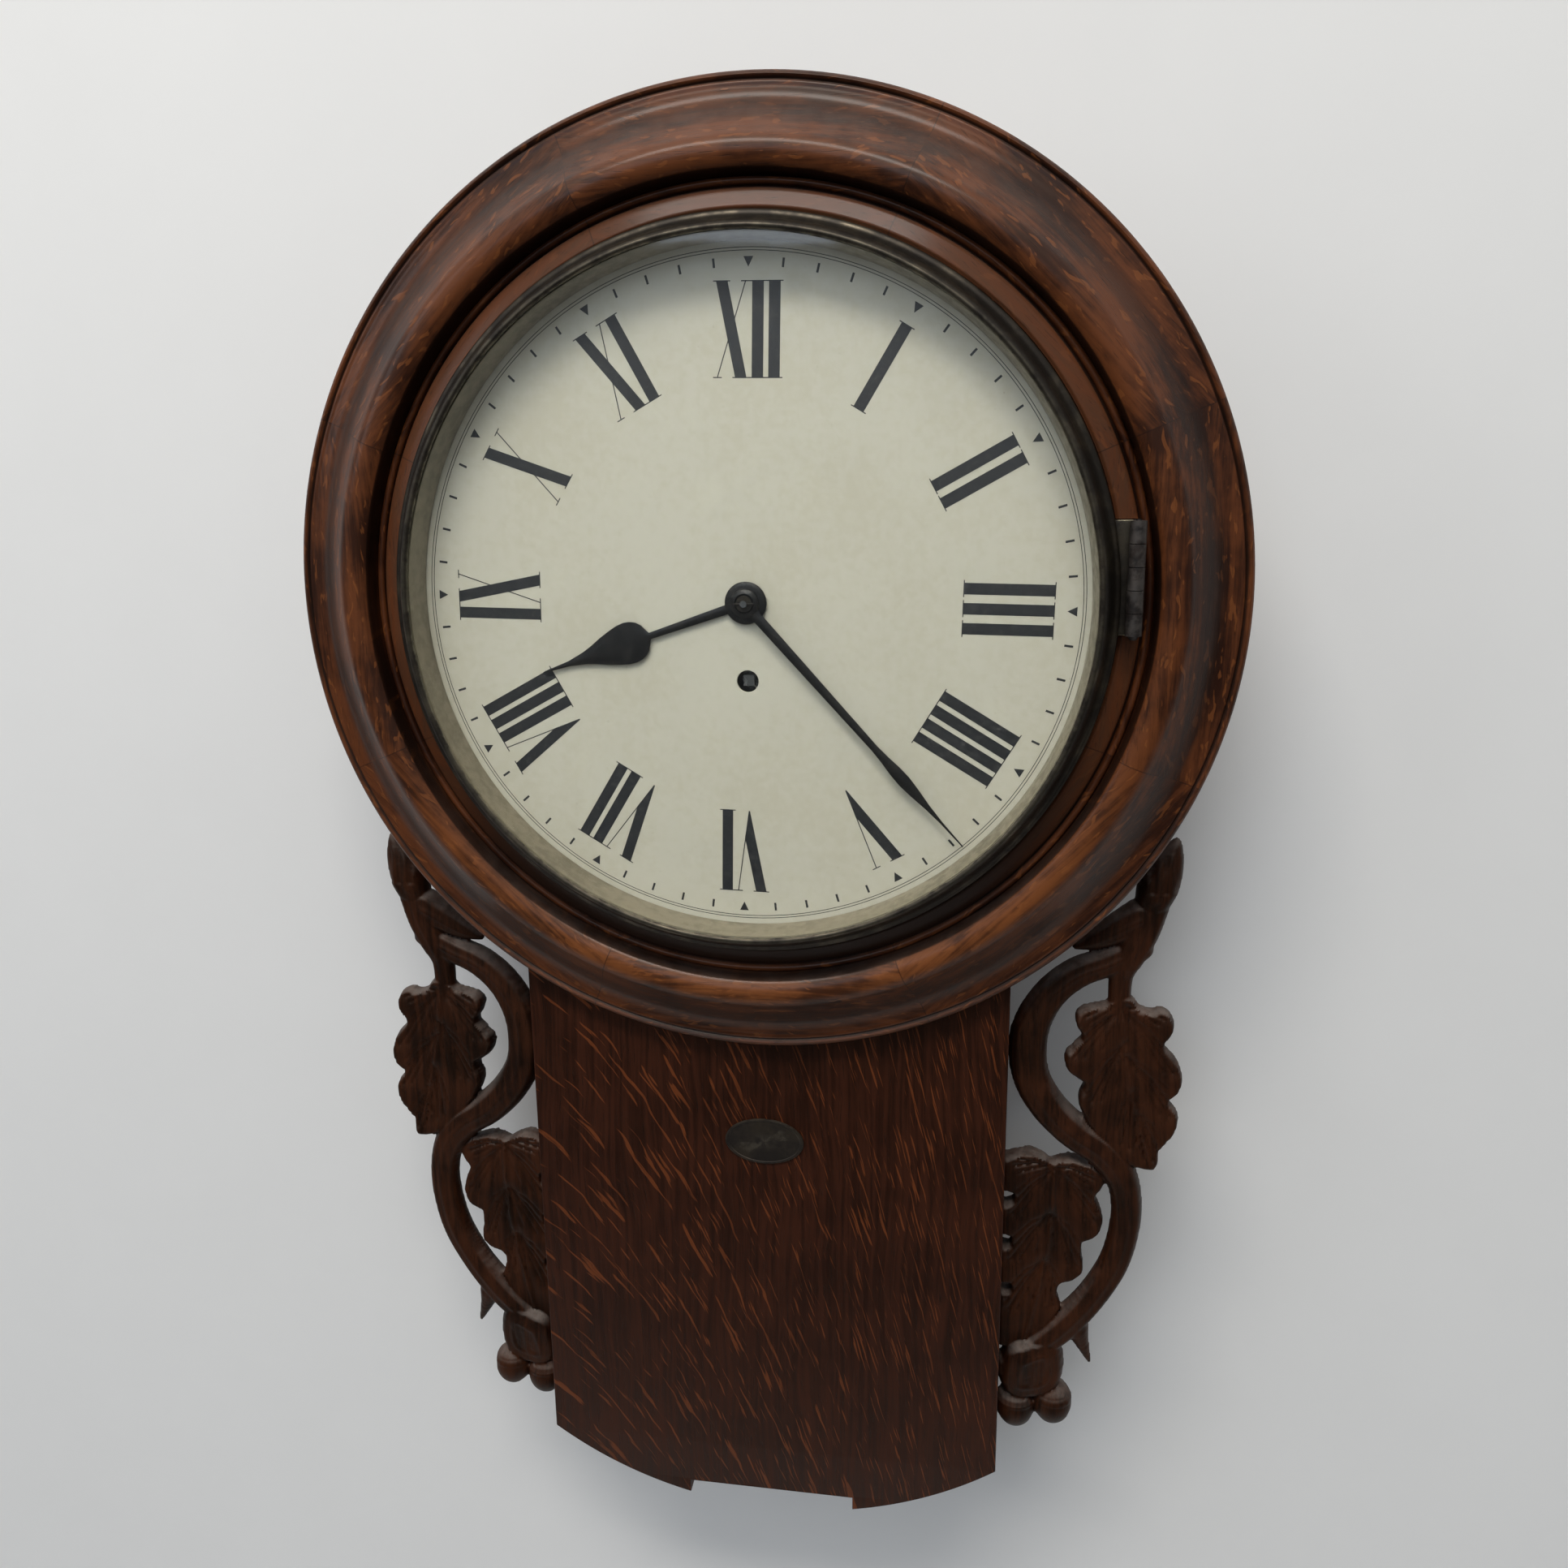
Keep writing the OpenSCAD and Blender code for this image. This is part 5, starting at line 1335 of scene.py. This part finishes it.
SCROLL = ((184, -170, 7), (169, -178, 7.5), (154, -185, 8), (141, -198, 8.5), (133, -217, 9.5), (134, -239, 9.5),
          (143, -256, 9.5), (156, -269, 9.5), (169.5, -278, 9.2), (179, -289, 8.8), (184, -303, 8), (184.5, -321, 7.8),
          (180, -343, 7.8), (169.5, -364, 7.8), (156, -382, 8.2), (142, -396, 8), (128, -409, 8))
THORN = ((162, -381, 7), (165, -390, 4.5), (170, -403, 1.2))
STALK = ((135, -402, 11), (133, -417, 9.5), (147, -414, 8.5), (147, -398, 9), (135, -402, 11))
STALK_MIDDLE = ((141, -402, 10), (140, -416, 9.2))
STEMS = (BUD, BRANCH, SPUR, SCROLL, THORN, STALK, STALK_MIDDLE)
ACORNS = ((132.3, -433.5, 10.5), (151.7, -429.5, 10.5))
FAR = 1e3


@dataclass
class Ear:
    """A carved ear: an S scroll with a bud, two oak leaves, a thorn and two acorns.

    The pairs from stem_crest to midrib are a height, or a depth, and a width. flutes_x and flutes_z say
    where the bud is fluted. The numbers after acorn_long are shares of an acorn's radius, and the height
    and pitch of the crossed lines on its cup.
    """

    palette: Palette
    side: Side
    drop: float = 0.0
    out: float = 81.0
    leaf_t: float = 13.0
    grid: float = 0.9
    wall_x: float = 122.5
    reach_x: float = 215.0
    reach_z: Flat = (-452.0, -108.0)
    rim_half: float = 0.9
    stem_crest: Flat = (0.5, 1.3)
    leaf_round: Flat = (1.4, 2.0)
    vein: Flat = (0.8, 0.55)
    valley: Flat = (0.9, 2.8)
    trough: Flat = (0.8, 4.5)
    midrib: Flat = (1.3, 1.2)
    vein_reach: float = 0.86
    flutes_x: Flat = (186.0, 196.0)
    flutes_z: Flat = (-140.0, -118.0)
    flutes_deep: float = 0.9
    acorn_long: float = 1.15
    cup_from: float = 0.3
    cup_swell: float = 0.05
    cup_cross: Flat = (0.35, 2.2)
    stems: Sequence[Sequence[Point]] = STEMS
    leaves: Sequence[Leaf] = (UPPER_LEAF, LOWER_LEAF)
    fan: Sequence[float] = (-7.0, -3.5, 0.0, 3.5, 7.0)

    def stem_relief(self, x: Array, z: Array, points: Sequence) -> tuple[Array, Array]:
        """How far outside a stem each place lies, and the stem's half thickness there."""
        outside = np.full(x.shape, FAR)
        half, crest = np.zeros(x.shape), np.zeros(x.shape)
        for a, b in zip(points, points[1:]):
            away, t = to_segment(x, z, a, b)
            radius = a[2] + t * (b[2] - a[2])
            outside = np.minimum(outside, away - radius)
            share = np.clip(away / radius, 0, 1)
            half = np.maximum(half, radius * np.minimum(0.80, np.sqrt(1 - share ** 2)) + 0.10 * radius * (1 - share))
            crest = np.maximum(crest, ridge(away, self.stem_crest))
        return outside, np.where(outside < 0, half + crest, 0)

    @staticmethod
    def bend(points: Sequence, closed: bool = False) -> Array:
        """Puts three more points between each two, so that a line bends evenly."""
        p = np.array(points, dtype=float)
        p = np.vstack([p[-1], p, p[:2]]) if closed else np.vstack([p[0], p, p[-1]])
        steps = np.arange(0, 1, 0.25)[:, None]
        runs = [b + 0.5 * steps * (c - a + steps * (2 * a - 5 * b + 4 * c - d + steps * (3 * (b - c) + d - a)))
                for a, b, c, d in zip(p, p[1:], p[2:], p[3:])]
        return np.vstack(runs + ([] if closed else [p[-1:]]))

    @staticmethod
    def beyond(x: Array, z: Array, outline: Array) -> Array:
        """Signed distance outside a closed outline."""
        far = np.full(x.shape, 1e9)
        inside = np.zeros(x.shape, dtype=bool)
        for a, b in zip(outline, np.roll(outline, -1, axis=0)):
            far = np.minimum(far, to_segment(x, z, a, b)[0])
            dx, dz = b - a
            inside ^= ((a[1] > z) != (b[1] > z)) & (x < a[0] + (z - a[1]) * dx / (dz if dz else 1e-9))
        return np.where(inside, -far, far)

    def leaf_relief(self, x: Array, z: Array, leaf: Leaf) -> tuple[Array, Array]:
        """The relief of a leaf.

        Args:
            x: Places across.
            z: Places upwards.
            leaf: The leaf.

        Returns:
            How far outside the leaf each place lies, and the half thickness with its rib and veins.
        """
        outside = self.beyond(x, z, self.bend(leaf.edge, closed=True))
        spine = self.bend(leaf.rib)
        cuts, valleys, middle = (np.full(x.shape, FAR) for _ in range(3))
        for tx, tz, share in leaf.tips:
            root = spine[int(share * (len(spine) - 1))]
            along = np.array([tx, tz]) - root
            for spread in self.fan:
                side = np.array([-along[1], along[0]]) / max(np.hypot(*along), 1e-6) * spread
                end = root + along * self.vein_reach * (1.0 - 0.007 * spread ** 2) + side
                sag = (root + end) / 2 + (0.0, 2.0) + 0.1 * side
                for a, b in ((root, sag), (sag, end)):
                    away = to_segment(x, z, a, b)[0]
                    cuts = np.minimum(cuts, away + 0.05 * abs(spread))
                    valleys = np.minimum(valleys, away + 0.4 * abs(spread))
        for a, b in zip(spine, spine[1:]):
            middle = np.minimum(middle, to_segment(x, z, a, b)[0])
        edge = np.clip(-outside / self.leaf_round[1], 0, 1)
        half = self.leaf_t / 2 - self.leaf_round[0] * (1 - np.sqrt(1 - (1 - edge) ** 2))
        half -= ridge(cuts, self.vein) + ridge(valleys, self.valley)
        half -= ridge(middle, self.trough)
        half += ridge(middle, self.midrib)
        return outside, np.where(outside < 0, half, 0)

    def acorn_relief(self, x: Array, z: Array, acorn: Point) -> tuple[Array, Array]:
        """How far outside an acorn each place lies, and its half thickness with the crossed cup."""
        ax, az, radius = acorn
        away = np.hypot(x - ax, (z - az) / self.acorn_long)
        in_cup = z > az + self.cup_from * radius
        cup = in_cup * self.cup_swell * radius
        ball = np.sqrt(np.clip((radius + cup) ** 2 - away ** 2, 0, None))
        deep, pitch = self.cup_cross
        cross = deep * np.sin((x + z) * pitch) * np.sin((x - z) * pitch) * in_cup
        return away - radius - cup, ball + np.where(ball > 1, cross, 0)

    def relief(self, x: Array, z: Array) -> tuple[Array, Array, Array]:
        """The whole ear at each place.

        Args:
            x: Places across, on the right ear.
            z: Places upwards.

        Returns:
            The distance outside the ear, and how far its front and back stand out from its middle.
        """
        outside = np.full(x.shape, FAR)
        front, back = np.zeros(x.shape), np.zeros(x.shape)
        parts = [(*self.stem_relief(x, z, self.bend(points)), 0.0) for points in self.stems]
        parts += [(*self.acorn_relief(x, z, acorn), 0.0) for acorn in ACORNS]
        parts += [(*self.leaf_relief(x, z, leaf), leaf.shift) for leaf in self.leaves]
        for away, half, shift in parts:
            outside = np.minimum(outside, away)
            front = np.where(away < 0, np.maximum(front, half + shift), front)
            back = np.where(away < 0, np.maximum(back, half - shift), back)
        (left, middle), (bottom, top) = self.flutes_x, self.flutes_z
        flutes = np.abs(np.sin((x - middle) * 0.55)) * np.clip((top - z) / 10, 0, 1) * (z > bottom) * (x > left)
        front = np.maximum(front - self.flutes_deep * flutes * (front > 3), 0)
        return np.maximum(outside, self.wall_x - x), np.maximum(front, self.rim_half), np.maximum(back, self.rim_half)

    def settle(self, px: Array, pz: Array, loose: Array) -> None:
        """Moves the points along the rim of the grid onto the ear's outline.

        Args:
            px: Places across, changed in place.
            pz: Places upwards, changed in place.
            loose: Numbers of the points that move.
        """
        step, most = 0.05, 0.6
        for _ in range(3):
            here = self.relief(px[loose], pz[loose])[0]
            gx = (self.relief(px[loose] + step, pz[loose])[0] - here) / step
            gz = (self.relief(px[loose], pz[loose] + step)[0] - here) / step
            size = np.maximum(np.hypot(gx, gz), 0.3)
            px[loose] -= np.clip(here / size, -most, most) * gx / size
            pz[loose] -= np.clip(here / size, -most, most) * gz / size

    def sand(self, ear: Object, rim: Sequence[int], total: int) -> None:
        """Eases the carved edge, where the front and the back meet, except against the trunk.

        Args:
            ear: The ear.
            rim: Point numbers along the front's edge.
            total: Number of points of the front.
        """
        with opened(ear.data) as work:
            work.verts.ensure_lookup_table()
            edge = {work.verts[i + shift] for i in rim for shift in (0, total)}
            near = {other.other_vert(v) for v in edge for other in v.link_edges} | edge
            loose = [v for v in near if abs(v.co.x) > (self.wall_x + 1.5) * MM]
            axes = {f"use_axis_{axis}": True for axis in "xyz"}
            for _ in range(3):
                bmesh.ops.smooth_vert(work, verts=loose, factor=0.45, **axes)

    def build(self) -> list[Object]:
        """Carves the ear as a front and a back relief that meet along its outline."""
        x, z = np.meshgrid(np.arange(self.wall_x - 1.0, self.reach_x, self.grid), np.arange(*self.reach_z, self.grid),
                           indexing="ij")
        inside = self.relief(x, z)[0] < self.grid * 0.5
        i, j = np.nonzero(inside[:-1, :-1] & inside[1:, :-1] & inside[1:, 1:] & inside[:-1, 1:])
        number = np.arange(x.size).reshape(x.shape)
        quads = np.stack([number[i, j], number[i + 1, j], number[i + 1, j + 1], number[i, j + 1]], axis=1)
        edges = np.concatenate([quads[:, [a, (a + 1) % 4]] for a in range(4)])
        keys = np.sort(edges, axis=1)
        _, index, count = np.unique(keys[:, 0] * x.size + keys[:, 1], return_index=True, return_counts=True)
        rim = edges[index[count == 1]]
        loose = np.unique(rim)
        px, pz = x.ravel().copy(), z.ravel().copy()
        self.settle(px, pz, loose)
        used = np.unique(quads)
        lookup = np.full(x.size, -1)
        lookup[used] = np.arange(len(used))
        _, front, back = self.relief(px[used], pz[used])
        near_edge = np.isin(used, loose)
        front = np.where(near_edge, np.minimum(front, np.maximum(front - 0.5, self.rim_half)), front)
        verts = [(self.side.value * a, -self.out + k, b) for reach in (-front, back)
                 for a, b, k in zip(px[used], pz[used] - self.drop, reach)]
        quads, rim, total = lookup[quads], lookup[rim], len(used)
        faces = quads.tolist() + (quads[:, ::-1] + total).tolist()
        faces += [(a, b, b + total, a + total) for a, b in rim.tolist()]
        side = self.side.name.lower()
        ear = make_piece(f"carved_ear_{side}", verts, faces, self.palette.get("carved_oak"), crease=60)
        self.sand(ear, np.nonzero(near_edge)[0].tolist(), total)
        return [carry(ear, "case", "carved_oak", f"ear_{side}")]


@dataclass
class Frame:
    """The solids that keep their own shape: case, hinges, movement and pendulum."""

    palette: Palette

    def dress(self) -> None:
        """Gives every solid the material of its slot, with boards' grain along their length."""
        for part in frame["record"]["subparts"]:
            name, slot = part["node"], part["material_slot"]
            run = BOARD_RUNS.get(name)
            if slot == "trunk_oak":
                run = Run.X if name == "bottom_door" else Run.Z
            material = self.palette.get(NODE_FINISHES.get(name, slot), run)
            node = frame["nodes"][name]
            node.data.materials.clear()
            node.data.materials.append(material)
            log.info("%s keeps its solid, in %s", name, material.name)


@dataclass(frozen=True)
class Lamp:
    """A soft lamp: its place, its width and height in metres, its power and its colour."""

    name: str
    at: Point
    size: Flat
    watts: float
    tint: Colour

    def hang(self, aim: Point) -> None:
        """Hangs the lamp so that it faces a point.

        Args:
            aim: The point, in metres.
        """
        data = bpy.data.lights.new(self.name, "AREA")
        data.shape, data.energy, data.color = "RECTANGLE", self.watts, self.tint[:3]
        data.size, data.size_y = self.size
        lamp = link(self.name, data)
        lamp.location = self.at
        lamp.rotation_mode = "QUATERNION"
        lamp.rotation_quaternion = (Vector(aim) - Vector(self.at)).to_track_quat("-Z", "Y")


LAMPS = (
    Lamp("lamp_above", (-0.15, -1.4, 1.75), (1.5, 0.45), 36.0, paint(255, 251, 246)),
    Lamp("lamp_window", (-0.7, -4.0, 1.66), (2.4, 1.6), 24.0, paint(216, 232, 255)),
    Lamp("lamp_left", (-1.7, -1.2, 0.8), (0.8, 1.0), 5.0, paint(246, 248, 255)),
)


@dataclass
class Studio:
    """A pale wall and floor, soft lamps and the camera."""

    camera_at: Point = (103.7, -671.7, 47.8)
    look: Point = (-0.15412, 0.96133, -0.22824)
    roll: float = -0.722
    lens: float = 28.527
    shift_x: float = 0.001
    opening: Point = (121.5, -462.0, 139.0)
    room: float = 0.07
    ceiling: float = 0.8
    wide: float = 4000.0
    low: float = -1750.0
    high: float = 3200.0
    deep: float = 1300.0
    wall_y: float = 0.6
    aim: Point = (0.0, -0.08, -0.12)
    lamps: Sequence[Lamp] = LAMPS

    @staticmethod
    def plaster(name: str, size: float, contrast: float, tones: tuple[Colour, Colour]) -> tuple[Material, Graph, Term]:
        """Starts a pale matt material for the wall or the floor.

        Args:
            name: Name of the material.
            size: Size of its patches in millimetres.
            contrast: Contrast of the patches.
            tones: Its two tones.

        Returns:
            The material, its graph and its shader, not joined yet.
        """
        material, g = new_material(name)
        return material, g, shader(g, g.tint(mottle(g, g.where(), size, contrast), *tones), 0.9)

    def sheet(self, name: str, corners: Sequence[Point], faces: Sequence, finish: Material) -> None:
        """Puts up a flat sheet of the wall or the floor.

        Args:
            name: Name of the sheet.
            corners: Its points in millimetres.
            faces: Lists of point numbers.
            finish: Its material.
        """
        mesh = new_mesh(name, corners, faces)
        mesh.materials.append(finish)
        sheet = link(name, mesh)

    def backdrop(self) -> None:
        """The wall round an opening behind the clock, seen only from the clock's side, and the floor."""
        wall, g, made = self.plaster("pale_wall", 90.0, 0.6, (paint(230, 229, 225), paint(238, 237, 233)))
        behind = g.node("ShaderNodeNewGeometry", output="Backfacing")
        close(wall, g, g.blend(behind, made, g.node("ShaderNodeBsdfTransparent")))
        floor, g, made = self.plaster("pale_floor", 120.0, 0.5, (paint(216, 215, 213), paint(226, 225, 223)))
        close(floor, g, made)
        wide, y, low = self.wide, self.wall_y, self.low
        half, under, over = self.opening
        outer, inner = ([(-w, y, a), (w, y, a), (w, y, b), (-w, y, b)]
                        for w, a, b in ((wide, low, self.high), (half, under, over)))
        self.sheet("wall", outer + inner, [(0, 1, 5, 4), (1, 2, 6, 5), (2, 3, 7, 6), (3, 0, 4, 7)], wall)
        self.sheet("floor", [(-wide, y, low), (-wide, -self.deep, low), (wide, -self.deep, low), (wide, y, low)],
                   [(0, 1, 2, 3)], floor)

    def world(self) -> None:
        """Soft light from a pale ceiling, and a dimmer room in front and below."""
        world = bpy.data.worlds.new("pale_room")
        world.use_nodes = True
        world.node_tree.nodes.clear()
        g = Graph(world.node_tree)
        up = g.split(g.node("ShaderNodeTexCoord", output="Generated"))[2]
        light = g.fade(up, -0.25, 0.95, self.room, self.ceiling)
        made = g.node("ShaderNodeBackground", {"Color": paint(236, 240, 246), "Strength": light})
        g.place("ShaderNodeOutputWorld", {"Surface": made})
        bpy.context.scene.world = world

    def camera(self) -> None:
        """Sets the camera at the photograph's place, angle and slight roll."""
        data = bpy.data.cameras.new("camera")
        data.sensor_width, data.lens, data.shift_x = 36.0, self.lens, self.shift_x
        data.clip_start, data.clip_end = 0.02, 30.0
        camera = link("camera", data)
        camera.rotation_mode = "QUATERNION"
        camera.location = tuple(c * MM for c in self.camera_at)
        facing = Vector(self.look).to_track_quat("-Z", "Y").to_matrix()
        camera.rotation_quaternion = (facing @ Matrix.Rotation(math.radians(self.roll), 3, "Z")).to_quaternion()
        bpy.context.scene.camera = camera

    def build(self) -> None:
        """Sets up everything round the clock."""
        self.camera()
        self.backdrop()
        for lamp in self.lamps:
            lamp.hang(self.aim)
        self.world()
        bpy.context.scene.view_settings.view_transform = "Standard"
        log.info("camera, wall, floor and lamps set")


def main() -> None:
    """Builds the studio, dresses the frame and makes the pieces in order."""
    logging.basicConfig(level=logging.INFO, format="%(message)s")
    palette = Palette()
    Studio().build()
    Frame(palette).dress()
    for assembly in (Surround(palette), GlazedBezel(palette), Dial(palette), Hands(palette), Trunk(palette),
                     Ear(palette, Side.LEFT, drop=9.0), Ear(palette, Side.RIGHT)):
        pieces = assembly.build()
        log.info("%s done, %d pieces", type(assembly).__name__, len(pieces))


if __name__ == "__main__":
    main()
